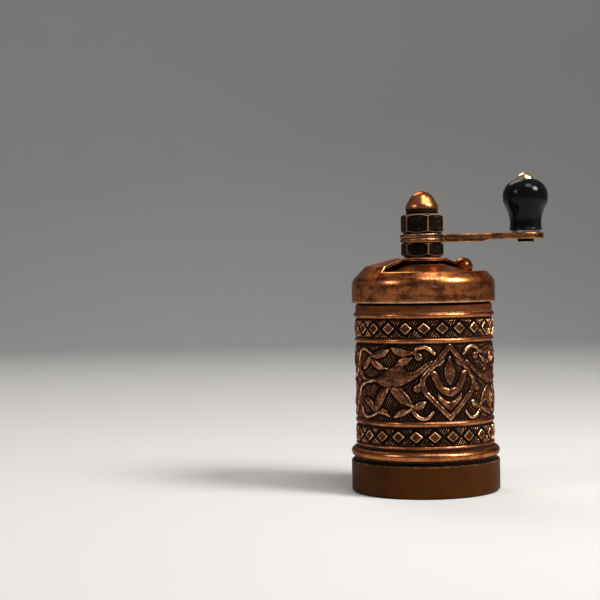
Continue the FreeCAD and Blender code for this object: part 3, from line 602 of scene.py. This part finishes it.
def smooth_path(points: tuple[Point, ...], closed: bool = False, steps: int = 7) -> np.ndarray:
    """A rounded line through a few points.

    Args:
        points: The points, in order.
        closed: Whether the line runs back to its start.
        steps: Short runs between two points.

    Returns:
        The line's points, one per row.
    """
    knots = np.array(points)
    if closed:
        knots = np.vstack([knots[-1:], knots, knots[:2]])
    else:
        knots = np.vstack([2 * knots[:1] - knots[1:2], knots, 2 * knots[-1:] - knots[-2:-1]])
    share = np.linspace(0.0, 1.0, steps, endpoint=False)[:, None]
    runs = []
    for before, start, end, after in zip(knots[:-3], knots[1:-2], knots[2:-1], knots[3:]):
        slope_in = (end - before) / 2
        slope_out = (after - start) / 2
        bend = 3 * (end - start) - 2 * slope_in - slope_out
        twist = 2 * (start - end) + slope_in + slope_out
        runs.append(start + share * (slope_in + share * (bend + share * twist)))
    return np.vstack(runs + [knots[-2:-1]])


def nearest(spots: np.ndarray, path: np.ndarray) -> tuple[np.ndarray, np.ndarray]:
    """How far spots lie from a line.

    Args:
        spots: The spots, one per row.
        path: The line's points, one per row.

    Returns:
        Each spot's distance, and the share of the line's length at its nearest point.
    """
    distance = np.full(len(spots), np.inf)
    share = np.zeros(len(spots))
    lengths = np.linalg.norm(np.diff(path, axis=0), axis=1)
    travelled = np.concatenate([[0.0], np.cumsum(lengths)])
    for start, end, length, before in zip(path[:-1], path[1:], lengths, travelled):
        along = np.clip((spots - start) @ (end - start) / max(length * length, TINY), 0.0, 1.0)
        gap = np.linalg.norm(spots - start - along[:, None] * (end - start), axis=1)
        closer = gap < distance
        distance[closer] = gap[closer]
        share[closer] = (before + along[closer] * length) / travelled[-1]
    return distance, share


def inside(spots: np.ndarray, outline: np.ndarray) -> np.ndarray:
    """Which spots lie within a closed outline.

    Args:
        spots: The spots, one per row.
        outline: The outline's points, one per row, ending at its start.

    Returns:
        True for each spot within it.
    """
    crossings = np.zeros(len(spots), bool)
    for (x0, y0), (x1, y1) in zip(outline[:-1], outline[1:]):
        spans = (y0 > spots[:, 1]) != (y1 > spots[:, 1])
        reach = x0 + (spots[:, 1] - y0) * (x1 - x0) / ((y1 - y0) or TINY)
        crossings ^= spans & (spots[:, 0] < reach)
    return crossings


@dataclass(frozen=True)
class Swell:
    """How a raised shape rises: steep at its outline, rounded or sunk towards its middle. Millimetres."""

    height: float
    shoulder: float
    crown: float = 0.0
    reach: float = 0.9
    dish: float = 0.0
    rim: float = 0.36

    def lift(self, depth: np.ndarray) -> np.ndarray:
        """The shape's height.

        Args:
            depth: How deep spots lie within the outline.

        Returns:
            Each spot's height.
        """
        flat = (1 - self.crown) * np.sqrt(ease(depth / self.shoulder))
        sunk = 1 - self.dish * ease((depth - self.rim) / self.shoulder)
        return self.height * (flat + self.crown * ease(depth / self.reach)) * sunk


@dataclass(frozen=True)
class Raised:
    """A raised shape along or round some points. Millimetres."""

    points: tuple[Point, ...]
    half_width: float
    swell: Swell

    def close(self, spots: np.ndarray, margin: float) -> np.ndarray:
        """Which spots lie near the shape.

        Args:
            spots: The spots, one per row.
            margin: How far the shape's box is widened.

        Returns:
            True for each spot in the widened box.
        """
        reach = self.half_width + margin
        low = np.min(self.points, axis=0) - reach
        high = np.max(self.points, axis=0) + reach
        return np.all((spots > low) & (spots < high), axis=1)

    def depth(self, spots: np.ndarray) -> np.ndarray:
        """How deep spots lie within the outline, less than 0 outside it."""
        distance, _ = nearest(spots, np.array(self.points))
        return self.half_width - distance


@dataclass(frozen=True)
class Strap(Raised):
    """A flat-topped raised line with straight runs."""

    swell: Swell = Swell(0.50, 0.26, 0.25, 0.55)


@dataclass(frozen=True)
class Vine(Raised):
    """A round raised line, thinner at its ends."""

    half_width: float = 0.50
    swell: Swell = Swell(0.50, 0.20, 0.25, 0.48)
    end_share: float = 0.84
    taper_share: float = 0.25

    def depth(self, spots: np.ndarray) -> np.ndarray:
        """How deep spots lie within the line.

        Args:
            spots: The spots, one per row.

        Returns:
            Each spot's depth, less than 0 outside the outline.
        """
        distance, share = nearest(spots, smooth_path(self.points))
        taper = ease(np.minimum(share, 1 - share) / self.taper_share)
        return self.half_width * (self.end_share + (1 - self.end_share) * taper) - distance


@dataclass(frozen=True)
class Leaf(Raised):
    """A pointed leaf along a spine, rounded towards its middle."""

    swell: Swell = Swell(0.58, 0.22, 0.40, 0.9)
    blunt_share: float = 0.02
    lean: float = 0.85
    fullness: float = 0.6

    def depth(self, spots: np.ndarray) -> np.ndarray:
        """How deep spots lie within the leaf.

        Args:
            spots: The spots, one per row.

        Returns:
            Each spot's depth, less than 0 outside the outline.
        """
        distance, share = nearest(spots, smooth_path(self.points))
        along = np.clip(share, self.blunt_share, 1 - self.blunt_share) ** self.lean
        return self.half_width * np.sin(np.pi * along) ** self.fullness - distance


@dataclass(frozen=True)
class Plate(Raised):
    """A raised patch within an outline."""

    half_width: float = 0.0
    swell: Swell = Swell(0.56, 0.24, 0.36, 0.9)

    def depth(self, spots: np.ndarray) -> np.ndarray:
        """How deep spots lie within the patch.

        Args:
            spots: The spots, one per row.

        Returns:
            Each spot's depth, less than 0 outside the outline.
        """
        path = smooth_path(self.points, closed=True)
        distance, _ = nearest(spots, path)
        return np.where(inside(spots, path), distance, -distance)


@dataclass(frozen=True)
class Bud(Raised):
    """A round bud at one point."""

    half_width: float = 1.05
    swell: Swell = Swell(0.56, 0.5, 0.4, 1.0)

    def depth(self, spots: np.ndarray) -> np.ndarray:
        """How deep spots lie within the bud."""
        return self.half_width - np.linalg.norm(spots - np.array(self.points[0]), axis=1)


@dataclass(frozen=True)
class Hatching:
    """Fine slanted lines left standing in the ground of a band. Millimetres."""

    radius: float = BAND_RADIUS_MM
    pitch: float = 0.60
    slope_deg: float = 60.0
    height: float = 0.30
    sharpness: float = 2.6

    def lift(self, azimuth: np.ndarray, rise: np.ndarray) -> np.ndarray:
        """The height of the lines.

        Args:
            azimuth: Angles from the front, to the right.
            rise: Heights above the band's foot.

        Returns:
            The lines' heights.
        """
        slope = math.radians(self.slope_deg)
        lines = round(2 * math.pi * self.radius * math.sin(slope) / self.pitch)
        wave = np.cos(lines * azimuth - 2 * math.pi * rise * math.cos(slope) / self.pitch)
        return self.height * (0.5 + 0.5 * wave) ** self.sharpness


@dataclass(frozen=True)
class Scrollwork:
    """The main band's design: two diamond medallions among mirrored vines. Millimetres.

    A point is the distance round the band from a medallion's centre line, and the height above the foot.
    """

    height: float
    medallion_azimuth_deg: float = 16.2
    radius: float = BAND_RADIUS_MM
    # Bare black ground round each raised shape, partly a painted shadow beside it.
    moat: float = 0.8
    # A wider bare ground below the ring above: a painted shadow of that ring.
    head_shadow_moat: float = 1.0
    foot_moat: float = 0.6
    hatching: Hatching = Hatching(height=0.37)
    shapes: tuple[Raised, ...] = (
        Strap(((0.0, 18.1), (6.35, 10.7), (6.7, 9.9), (6.6, 8.6), (5.9, 6.9), (0.0, 0.8)), 0.70),
        Vine(((20.5, 9.7), (21.6, 9.75), (24.2, 10.4), (26.0, 12.2), (26.2, 15.0), (25.1, 16.9), (23.4, 17.4),
              (21.0, 16.4), (20.4, 15.9))),
        Vine(((20.5, 9.6), (21.4, 9.45), (23.6, 8.9), (25.5, 7.8), (26.1, 5.9), (25.6, 3.4), (24.0, 1.3),
              (22.2, 0.75), (19.6, 1.5), (19.1, 1.9))),
        Vine(((8.5, 16.6), (7.9, 17.5), (6.2, 17.9), (4.8, 17.3), (3.7, 16.2)), 0.52),
        Vine(((9.3, 3.7), (8.9, 2.4), (7.8, 1.15), (6.4, 0.7), (5.2, 1.15), (4.3, 2.2)), 0.52),
        Vine(((6.7, 9.6), (7.3, 8.8), (7.9, 8.2)), 0.46),
        Vine(((8.6, 16.4), (8.1, 16.0), (7.5, 15.65)), 0.4),
        Vine(((10.2, 2.6), (9.4, 3.1), (8.7, 3.5)), 0.36),
        Vine(((18.4, 13.6), (16.9, 12.9), (15.4, 12.75)), 0.34),
        Leaf(((20.9, 15.6), (18.8, 15.9), (16.6, 16.5), (14.7, 17.5)), 0.98),
        Leaf(((20.7, 14.9), (19.3, 13.9), (17.8, 13.2), (16.2, 12.8)), 1.02),
        Leaf(((21.0, 15.5), (22.2, 14.3), (24.0, 12.2)), 1.05),
        Leaf(((14.5, 17.9), (12.8, 16.9), (11.2, 16.45), (8.4, 16.6)), 0.92),
        Leaf(((13.3, 13.2), (12.2, 14.1), (10.7, 14.7), (9.0, 15.4)), 0.95),
        Leaf(((15.4, 8.0), (17.2, 6.4), (18.5, 4.5), (19.1, 1.9)), 1.2),
        Leaf(((14.8, 8.1), (12.9, 7.0), (11.1, 5.4), (9.1, 3.7)), 1.42),
        Leaf(((23.6, 5.2), (21.6, 4.4), (19.2, 2.1)), 0.95),
        Leaf(((18.8, 1.9), (17.0, 2.35), (15.0, 1.2)), 0.85),
        Leaf(((14.0, 0.9), (11.9, 2.2), (9.4, 2.7)), 0.78),
        Leaf(((8.9, 3.1), (7.5, 3.8), (5.9, 4.8)), 0.98),
        Plate(((21.4, 9.72), (19.4, 10.4), (17.8, 10.95), (15.8, 12.35), (13.9, 13.2), (12.5, 13.45),
               (11.4, 13.3), (11.2, 12.7), (10.8, 12.2), (10.0, 12.0), (9.0, 12.1), (7.9, 12.6), (6.9, 13.3),
               (5.9, 14.2), (4.3, 14.7), (4.6, 13.5), (5.7, 12.6), (6.6, 11.8), (7.6, 11.0), (8.9, 10.15),
               (10.3, 9.4), (12.0, 8.55), (13.8, 8.02), (15.9, 8.12), (18.0, 8.85), (19.8, 9.4)), 0.0,
              Swell(0.60, 0.24, 0.40, 1.5)),
        Plate(((0.0, 15.9), (0.8, 13.9), (1.5, 11.9), (1.0, 9.9), (0.0, 8.6), (-1.0, 9.9), (-1.5, 11.9),
               (-0.8, 13.9))),
        Plate(((0.0, 7.9), (1.6, 8.5), (2.4, 10.2), (3.2, 11.9), (5.0, 12.3), (4.0, 9.2), (2.6, 7.1),
               (0.8, 6.1), (0.0, 5.9), (-0.4, 7.0))),
        Plate(((0.0, 4.7), (1.1, 5.1), (2.2, 5.9), (3.0, 6.8), (3.0, 5.3), (1.8, 3.9), (0.0, 2.5),
               (-0.4, 3.6))),
        Bud(((7.5, 15.6),)),
        Bud(((7.95, 8.0),)),
        Leaf(((1.4, 15.3), (2.3, 14.1), (4.2, 13.1)), 0.62),
    )

    def lift(self, azimuth: np.ndarray, rise: np.ndarray) -> np.ndarray:
        """The design's height.

        Args:
            azimuth: Angles from the front, to the right.
            rise: Heights above the band's foot.

        Returns:
            The heights above the ground.
        """
        turn = np.degrees(azimuth) - self.medallion_azimuth_deg
        folded = np.abs((turn + 90.0) % 180.0 - 90.0)
        spots = np.column_stack([np.radians(folded) * self.radius, rise])
        raised = np.zeros(len(spots))
        # Near the band's head the bare ground widens into a painted shadow of the ring above.
        gap = self.moat * np.minimum(rise / self.foot_moat, (self.height - rise) / self.head_shadow_moat)
        for shape in self.shapes:
            close = shape.close(spots, self.moat)
            depth = shape.depth(spots[close])
            raised[close] = np.maximum(raised[close], shape.swell.lift(depth))
            gap[close] = np.minimum(gap[close], -depth)
        return np.maximum(raised, self.hatching.lift(azimuth, rise) * ease(gap / self.moat))


@dataclass(frozen=True)
class Lozenges:
    """A narrow band's design: lozenges with sunken hearts between hatched triangles. Millimetres."""

    height: float
    phase_deg: float
    count: int = 24
    radius: float = BAND_RADIUS_MM
    half_width: float = 1.66
    half_height: float = 1.46
    lattice: float = 0.58
    # A wider bare ground below the ring above: a painted shadow of that ring.
    head_shadow_moat: float = 0.9
    foot_moat: float = 0.4
    triangle_edge: float = 0.14
    triangle_lift: float = 0.10
    hatching_gain: float = 1.30
    swell: Swell = Swell(0.50, 0.15, dish=0.19, rim=0.24)
    hatching: Hatching = Hatching(pitch=0.56)

    def lift(self, azimuth: np.ndarray, rise: np.ndarray) -> np.ndarray:
        """The design's height.

        Args:
            azimuth: Angles from the front, to the right.
            rise: Heights above the band's foot.

        Returns:
            The heights above the ground.
        """
        pitch = 360.0 / self.count
        turn = (np.degrees(azimuth) - self.phase_deg + pitch / 2) % pitch - pitch / 2
        across = np.radians(np.abs(turn)) * self.radius
        slant = self.half_width * self.half_height / math.hypot(self.half_width, self.half_height)
        depth = (1.0 - across / self.half_width - np.abs(rise - self.height / 2) / self.half_height) * slant
        # Near the band's head the triangles fade into a painted shadow of the ring above.
        edge = ease(np.minimum(rise / self.foot_moat, (self.height - rise) / self.head_shadow_moat))
        triangle = ease((-depth - self.lattice) / self.triangle_edge) * edge
        hatched = self.triangle_lift + self.hatching_gain * self.hatching.lift(azimuth, rise)
        return np.maximum(self.swell.lift(depth), triangle * hatched)


def corners(parts: list) -> list[bmesh.types.BMVert]:
    """The vertices among some parts of a shape."""
    return [part for part in parts if isinstance(part, bmesh.types.BMVert)]


def open_edges(shape: bmesh.types.BMesh) -> list[bmesh.types.BMEdge]:
    """The edges along a shape's openings."""
    return [edge for edge in shape.edges if edge.is_boundary]


def closed(shape: bmesh.types.BMesh, name: str) -> bpy.types.Mesh:
    """Turn a finished shape's faces outwards and make it a mesh.

    Args:
        shape: The shape, which is freed.
        name: The mesh's name.

    Returns:
        The mesh.
    """
    bmesh.ops.recalc_face_normals(shape, faces=shape.faces[:])
    mesh = bpy.data.meshes.new(name)
    shape.to_mesh(mesh)
    shape.free()
    return mesh


def stand(name: str, mesh: bpy.types.Mesh, finish: bpy.types.Material) -> bpy.types.Object:
    """Put a finished mesh into the scene.

    Args:
        name: The piece's name.
        mesh: Its mesh, in place.
        finish: Its material.

    Returns:
        The piece.
    """
    mesh.materials.append(finish)
    piece = bpy.data.objects.new(name, mesh)
    bpy.context.scene.collection.objects.link(piece)
    LOG.info("built %s with %d faces", name, len(mesh.polygons))
    return piece


@dataclass(frozen=True)
class ReliefBand:
    """One cast relief band: a thin ring over the body, whose outer face carries a design. Millimetres."""

    name: str
    foot: float
    rows: int
    design: Scrollwork | Lozenges
    columns: int = 840
    ground_radius: float = 16.78
    buried_radius: float = 16.45
    full_height: float = 0.46
    crest_step: float = 0.075
    casting_grain: float = 0.02
    seed: int = 7
    weld: float = 0.001
    hollow_shade: float = 0.4
    sharp_deg: float = 75.0

    def ring(self) -> bpy.types.Mesh:
        """The plain ring: a grid wrapped round the body, with its rims turned in and joined.

        Returns:
            The ring's mesh.
        """
        shape = bmesh.new()
        bmesh.ops.create_grid(shape, x_segments=self.columns, y_segments=self.rows, size=0.5)
        for vert in shape.verts:
            turn = 2 * math.pi * vert.co.x
            rise = (vert.co.y + 0.5) * self.design.height
            vert.co = Vector((math.sin(turn) * self.ground_radius, -math.cos(turn) * self.ground_radius,
                              self.foot + rise)) * MM
        bmesh.ops.remove_doubles(shape, verts=shape.verts[:], dist=MM * self.weld)
        turned_in = bmesh.ops.extrude_edge_only(shape, edges=open_edges(shape))["geom"]
        inward = self.buried_radius / self.ground_radius
        bmesh.ops.scale(shape, verts=corners(turned_in), vec=(inward, inward, 1.0))
        bmesh.ops.bridge_loops(shape, edges=open_edges(shape))
        return closed(shape, self.name)

    def blurred(self, grid: np.ndarray, passes: int = 3) -> np.ndarray:
        """A softened copy of heights on the band's grid, joined at the seam.

        Args:
            grid: The heights, in rows from the foot and columns from the front.
            passes: How often they are softened.

        Returns:
            The softened heights.
        """
        for _ in range(passes):
            grid = (np.roll(grid, 1, 1) + 2 * grid + np.roll(grid, -1, 1)) / 4
            padded = np.vstack([grid[:1], grid, grid[-1:]])
            grid = (padded[:-2] + 2 * padded[1:-1] + padded[2:]) / 4
        return grid

    def carved(self) -> np.ndarray:
        """The design's heights with the casting's grain.

        Returns:
            The heights, in rows from the foot and columns from the front.
        """
        rows = np.linspace(0.0, self.design.height, self.rows + 1)
        columns = np.arange(self.columns) * 2 * math.pi / self.columns
        rise, azimuth = np.meshgrid(rows, columns, indexing="ij")
        grid = self.design.lift(azimuth.ravel(), rise.ravel()).reshape(rise.shape)
        grain = self.blurred(np.random.default_rng(self.seed).normal(size=grid.shape), 1)
        return np.maximum(grid + self.casting_grain * grain / np.std(grain) * grid / self.full_height, 0.0)

    def build(self, finish: bpy.types.Material) -> None:
        """Carve the design and dress the band.

        Args:
            finish: The band's material.
        """
        mesh = self.ring()
        place = np.zeros(len(mesh.vertices) * 3)
        mesh.vertices.foreach_get("co", place)
        place = place.reshape(-1, 3) / MM
        azimuth = np.arctan2(place[:, 0], -place[:, 1])
        outer = np.hypot(place[:, 0], place[:, 1]) > (self.ground_radius + self.buried_radius) / 2
        row = np.rint((place[:, 2] - self.foot) * self.rows / self.design.height).astype(int)
        column = np.rint(azimuth * self.columns / (2 * math.pi)).astype(int) % self.columns
        grid = self.carved()
        crest = np.where(outer, ((grid - self.blurred(grid)) / self.crest_step)[row, column], 0.0)
        height = np.where(outer, grid[row, column], 0.0)
        radius = self.ground_radius + height
        place[outer, 0] = (np.sin(azimuth) * radius)[outer]
        place[outer, 1] = (-np.cos(azimuth) * radius)[outer]
        mesh.vertices.foreach_set("co", (place * MM).ravel())
        # The relief attribute also carries painted shade in the design's hollows, through hollow_shade.
        relief = np.clip(height / self.full_height + np.minimum(crest, 0.0) * self.hollow_shade, 0.0, 1.0)
        for name, values in (("relief", relief), ("wear", np.clip(crest, 0.0, 1.0))):
            mesh.attributes.new(name, "FLOAT", "POINT").data.foreach_set("value", values)
        mesh.shade_smooth()
        mesh.set_sharp_from_angle(angle=math.radians(self.sharp_deg))
        piece = stand(self.name, mesh, finish)
        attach(piece, Body.HOUSING.value)


@dataclass(frozen=True)
class BodyBands:
    """The three relief bands of the body casting. Millimetres."""

    main_foot: float = 18.5
    main_height: float = 18.7
    main_rows: int = 112
    upper_foot: float = 38.5
    upper_height: float = 4.7
    lower_foot: float = 12.5
    lower_height: float = 4.6
    upper_phase_deg: float = -4.8
    lower_phase_deg: float = 2.9
    narrow_rows: int = 40

    def build(self) -> None:
        """Make the bands and their finish."""
        finish = ReliefCopper("cast_copper_relief").build()
        scrollwork = Scrollwork(self.main_height)
        upper_lozenges = Lozenges(self.upper_height, self.upper_phase_deg)
        lower_lozenges = Lozenges(self.lower_height, self.lower_phase_deg)
        ReliefBand("main_band", self.main_foot, self.main_rows, scrollwork).build(finish)
        ReliefBand("upper_band", self.upper_foot, self.narrow_rows, upper_lozenges).build(finish)
        ReliefBand("lower_band", self.lower_foot, self.narrow_rows, lower_lozenges).build(finish)


@dataclass(frozen=True)
class BurrCoil:
    """The coil spring over the inner burr, which gives way as the burr is set. Millimetres."""

    radius: float = 3.3
    wire: float = 0.3
    turns: float = 2.75
    steps: int = 110
    sides: int = 12
    sharp_deg: float = 60.0

    def wound(self, foot: float, rise: float) -> bpy.types.Mesh:
        """The wire, wound and closed at its ends.

        Args:
            foot: Height of the wire's middle at its lower end, in metres.
            rise: Height from there to its upper end, in metres.

        Returns:
            The coil's mesh.
        """
        climb = math.atan2(rise, math.tau * self.radius * MM * self.turns)
        facing = Matrix.Rotation(climb - math.pi / 2, 4, "X")
        start = Matrix.Translation((self.radius * MM, 0.0, foot)) @ facing
        shape = bmesh.new()
        bmesh.ops.create_circle(shape, segments=self.sides, radius=self.wire * MM, matrix=start)
        bmesh.ops.spin(shape, geom=shape.verts[:] + shape.edges[:], axis=(0.0, 0.0, 1.0), steps=self.steps,
                       angle=math.tau * self.turns, dvec=(0.0, 0.0, rise / self.steps))
        bmesh.ops.holes_fill(shape, edges=open_edges(shape))
        mesh = closed(shape, "burr_coil")
        mesh.shade_smooth()
        mesh.set_sharp_from_angle(angle=math.radians(self.sharp_deg))
        return mesh

    def build(self, finish: bpy.types.Material) -> None:
        """Wind the spring where the CAD spring stood, and hide that node.

        Args:
            finish: The spring's material.
        """
        low, high = (corner.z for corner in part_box("burr_spring"))
        foot = low + self.wire * MM
        head = high - self.wire * MM
        piece = stand("burr_coil", self.wound(foot, head - foot), finish)
        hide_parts("burr_spring")
        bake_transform(piece)


@dataclass(frozen=True)
class NodeDressing:
    """Finishes for the CAD nodes."""

    # Painted shade in the casting's grooves by the foot bead, on the neck band and under the dome's skirt.
    casting_shade: tuple[Slice, ...] = (
        (0.0079, 0.0088, 1.0),
        (0.0111, 0.0118, 0.9),
        (0.0446, 0.0463, 0.76),
        (0.0463, 0.0470, 1.0),
    )
    # Painted shade on the acorn's hexagon and its neck under the dome.
    acorn_shade: Slice = (0.0641, 0.0702, 1.0)
    # Painted shade on the lock nut's flats.
    hexagon_shade: Slice = (0.0583, 0.0618, 1.0)
    # Painted shade on the dome's crown under the lock nut.
    crown_shade: Slice = (0.0576, 0.0590, 0.60)
    # Painted highlight along the dome's lower lip.
    lip_highlight: Slice = (0.0470, 0.0475, 0.85)
    # Painted shadow on the shutter's hub under the crown.
    shutter_shade: Slice = (0.0561, 0.0575, 1.0)
    # Painted shade on the crank washer and the rivet collar.
    washer_shade: Slice = (0.0550, 0.0660, 0.9)
    hexagon_edge: Colour = (0.66, 0.36, 0.18)
    cap_ledge_drop: float = 0.00005

    def build(self) -> None:
        """Make the finishes and lay each on its nodes."""
        self.dress_copper()
        self.dress_metal()
        ledge_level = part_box("base_cap")[1].z - self.cap_ledge_drop
        self.lay(SatinPlastic("satin_brown_cap", ledge_level), "base_cap")
        self.lay(GlossBlack("gloss_black_grip"), "crank_knob")

    def dress_copper(self) -> None:
        """Dress the copper-plated nodes."""
        dome = TurnedCopper("antique_copper_turned", worn=(0.90, 0.47, 0.22), body=(0.74, 0.226, 0.057),
                            stain=(0.12, 0.032, 0.009), lacquer=0.5, scuffed=0.55, zones=(self.crown_shade,),
                            painted_highlights=(self.lip_highlight,), edges_through=False)
        casting = TurnedCopper("antique_copper_cast", zones=self.casting_shade, edges_through=False)
        acorn = TurnedCopper("antique_copper_acorn", worn=self.hexagon_edge, stain_band=(0.52, 0.84),
                             smeared=0.2, scuffed=0.14, zones=(self.acorn_shade,))
        hexagon = TurnedCopper("antique_copper_shaded", worn=self.hexagon_edge, scuffed=0.14,
                               zones=(self.hexagon_shade,))
        shutter = TurnedCopper("antique_copper_shutter", zones=(self.shutter_shade,), groove_reach=0.0006,
                               edge_reach=0.0001, gloss=0.32)
        handled = TurnedCopper("antique_copper_handled", body=(0.50, 0.185, 0.062),
                               stain=(0.045, 0.018, 0.009), stain_band=(0.47, 0.70), edge_reach=0.0003)
        # A darker copy of the copper with painted shade over its slice, for the washer and collar in the
        # crank's shade.
        dark = TurnedCopper("antique_copper_dark", body=(0.24, 0.085, 0.030), stain=(0.030, 0.013, 0.008),
                            stain_band=(0.30, 0.55), zones=(self.washer_shade,), edges_through=False)
        self.lay(dome, "dome_cover", "shutter_knob")
        self.lay(shutter, "shutter_plate")
        self.lay(handled, "crank_arm")
        self.lay(casting, "body_casting")
        self.lay(acorn, "acorn_nut")
        self.lay(hexagon, "lock_nut")
        self.lay(dark, "crank_washer", "rivet_collar")

    def dress_metal(self) -> None:
        """Dress the bare steel and brass nodes."""
        steel = PlainMetal("turned_steel", (0.56, 0.56, 0.55), (0.36, 0.36, 0.36))
        spring = PlainMetal("drawn_spring_steel", (0.45, 0.45, 0.46), (0.28, 0.28, 0.29), gloss=0.22)
        burr = PlainMetal("hardened_burr_steel", (0.36, 0.36, 0.37), (0.20, 0.20, 0.21), gloss=0.34)
        brass = PlainMetal("machined_brass", (0.66, 0.47, 0.22), (0.45, 0.29, 0.12))
        # Near-black brass for the top bush: partly aged brass, partly painted shade under the lock nut.
        aged_brass_and_shade = PlainMetal("aged_brass_and_shade", (0.10, 0.055, 0.028), (0.030, 0.017, 0.010), gloss=0.36)
        gold = PlainMetal("polished_rivet_brass", (0.88, 0.68, 0.40), (0.66, 0.47, 0.24), gloss=0.20)
        self.lay(aged_brass_and_shade, "top_bush")
        self.lay(steel, "drive_shaft", "bush_nut", "knob_washer", "bearing_bridge", "stator_screws",
                 "adjust_washer", "retaining_clip")
        self.lay(spring, "shutter_spring", "burr_spring")
        self.lay(burr, "burr_stator", "burr_rotor")
        self.lay(brass, "shaft_bearing", "adjusting_nut")
        self.lay(gold, "knob_rivet")

    def lay(self, finish: TurnedCopper | PlainMetal | SatinPlastic | GlossBlack, *nodes: str) -> None:
        """Make a finish and lay it on CAD nodes.

        Args:
            finish: The finish.
            nodes: The nodes' names.
        """
        material = finish.build()
        for node in nodes:
            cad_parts[node].material_slots[0].material = material
            LOG.info("dressed %s in %s", node, material.name)


@dataclass(frozen=True)
class Lamp:
    """A soft round lamp that faces the mill."""

    name: str
    azimuth_deg: float
    elevation_deg: float
    distance: float
    size: float
    power: float
    spread_deg: float = 180.0
    colour: Colour = (1.0, 0.97, 0.93)

    def build(self, target: Vector) -> None:
        """Hang the lamp.

        Args:
            target: The spot that it faces.
        """
        azimuth = math.radians(self.azimuth_deg)
        elevation = math.radians(self.elevation_deg)
        level = math.cos(elevation)
        towards = Vector((math.sin(azimuth) * level, -math.cos(azimuth) * level, math.sin(elevation)))
        data = bpy.data.lights.new(self.name, "AREA")
        data.shape = "DISK"
        data.size = self.size
        data.energy = self.power
        data.spread = math.radians(self.spread_deg)
        data.color = self.colour
        lamp = bpy.data.objects.new(self.name, data)
        lamp.location = target + towards * self.distance
        lamp.rotation_mode = "QUATERNION"
        lamp.rotation_quaternion = towards.to_track_quat("Z", "Y")
        bpy.context.scene.collection.objects.link(lamp)


@dataclass(frozen=True)
class Studio:
    """The pale floor, the lamps and the camera."""

    camera_place: tuple[float, float, float] = (-0.0307, -0.3637, 0.0550)
    camera_lens: float = 87.2
    camera_sensor: float = 36.0
    camera_near: float = 0.01
    camera_pitch_deg: float = -1.12
    camera_roll_deg: float = 1.0
    floor_half_width: float = 1.6
    floor_front: float = -1.2
    floor_back: float = 0.7
    sweep_radius: float = 0.35
    sweep_steps: int = 16
    wall_height: float = 1.2
    floor_colour: Colour = (0.66, 0.655, 0.645)
    floor_shade: float = 0.96
    floor_cloud: Grain = Grain(14.0, 3.0, 0.5)
    floor_specular: float = 0.05
    world_colour: Colour = (0.93, 0.95, 1.0)
    world_level: float = 0.16
    lamps: tuple[Lamp, ...] = (
        Lamp("key_lamp", 58.0, 42.0, 0.65, 0.25, 1.33, 95.0),
        Lamp("side_lamp", -60.0, 30.0, 0.70, 0.22, 0.8),
        Lamp("top_lamp", 32.0, 68.0, 0.70, 0.30, 1.7),
        Lamp("rim_lamp", -160.0, 52.0, 0.70, 0.40, 1.2),
    )

    def build(self) -> None:
        """Set the stage round the mill."""
        low, high = CAD_BOX
        target = Vector((0.0, 0.0, (low.z + high.z) / 2))
        for lamp in self.lamps:
            lamp.build(target)
        self.build_floor()
        self.build_world()
        self.build_camera()

    def build_floor(self) -> None:
        """Lay a floor that sweeps up into a wall behind the mill."""
        shape = bmesh.new()
        first = shape.verts.new((-self.floor_half_width, self.floor_front, 0.0))
        second = shape.verts.new((-self.floor_half_width, self.floor_back, 0.0))
        shape.edges.new((first, second))
        turned = bmesh.ops.spin(shape, geom=[second], cent=(0, self.floor_back, self.sweep_radius),
                                axis=(1, 0, 0), angle=math.pi / 2, steps=self.sweep_steps)
        top = bmesh.ops.extrude_vert_indiv(shape, verts=corners(turned["geom_last"]))["verts"]
        bmesh.ops.translate(shape, verts=top, vec=(0, 0, self.wall_height))
        swept = bmesh.ops.extrude_edge_only(shape, edges=shape.edges[:])["geom"]
        bmesh.ops.translate(shape, verts=corners(swept), vec=(2 * self.floor_half_width, 0, 0))
        mesh = closed(shape, "pale_floor")
        mesh.shade_smooth()
        sketch = NodeSketch("pale_floor_paper")
        darker = tuple(self.floor_shade * channel for channel in self.floor_colour)
        colour = sketch.mix(sketch.noise(self.floor_cloud), self.floor_colour, darker)
        paper = sketch.surface(Base_Color=colour, Roughness=1.0, Specular_IOR_Level=self.floor_specular)
        floor = stand("pale_floor", mesh, paper)

    def build_world(self) -> None:
        """Fill the room with dim even light."""
        world = bpy.data.worlds.new("studio_room")
        world.use_nodes = True
        background = world.node_tree.nodes["Background"]
        background.inputs["Color"].default_value = (*self.world_colour, 1.0)
        background.inputs["Strength"].default_value = self.world_level
        bpy.context.scene.world = world

    def build_camera(self) -> None:
        """Stand the camera where the photograph was taken."""
        data = bpy.data.cameras.new("camera")
        data.lens = self.camera_lens
        data.sensor_width = self.camera_sensor
        data.clip_start = self.camera_near
        camera = bpy.data.objects.new("camera", data)
        camera.location = self.camera_place
        pitch = math.radians(90 + self.camera_pitch_deg)
        camera.rotation_euler = (pitch, math.radians(self.camera_roll_deg), 0.0)
        bpy.context.scene.collection.objects.link(camera)
        bpy.context.scene.camera = camera
        bpy.context.scene.view_settings.view_transform = "Standard"


def main() -> None:
    """Build the mill's looks, piece by piece, and the studio round it."""
    logging.basicConfig(level=logging.INFO, format="%(name)s: %(message)s")
    NodeDressing().build()
    BodyBands().build()
    BurrCoil().build(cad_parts["burr_spring"].material_slots[0].material)
    Studio().build()


if __name__ == "__main__":
    main()
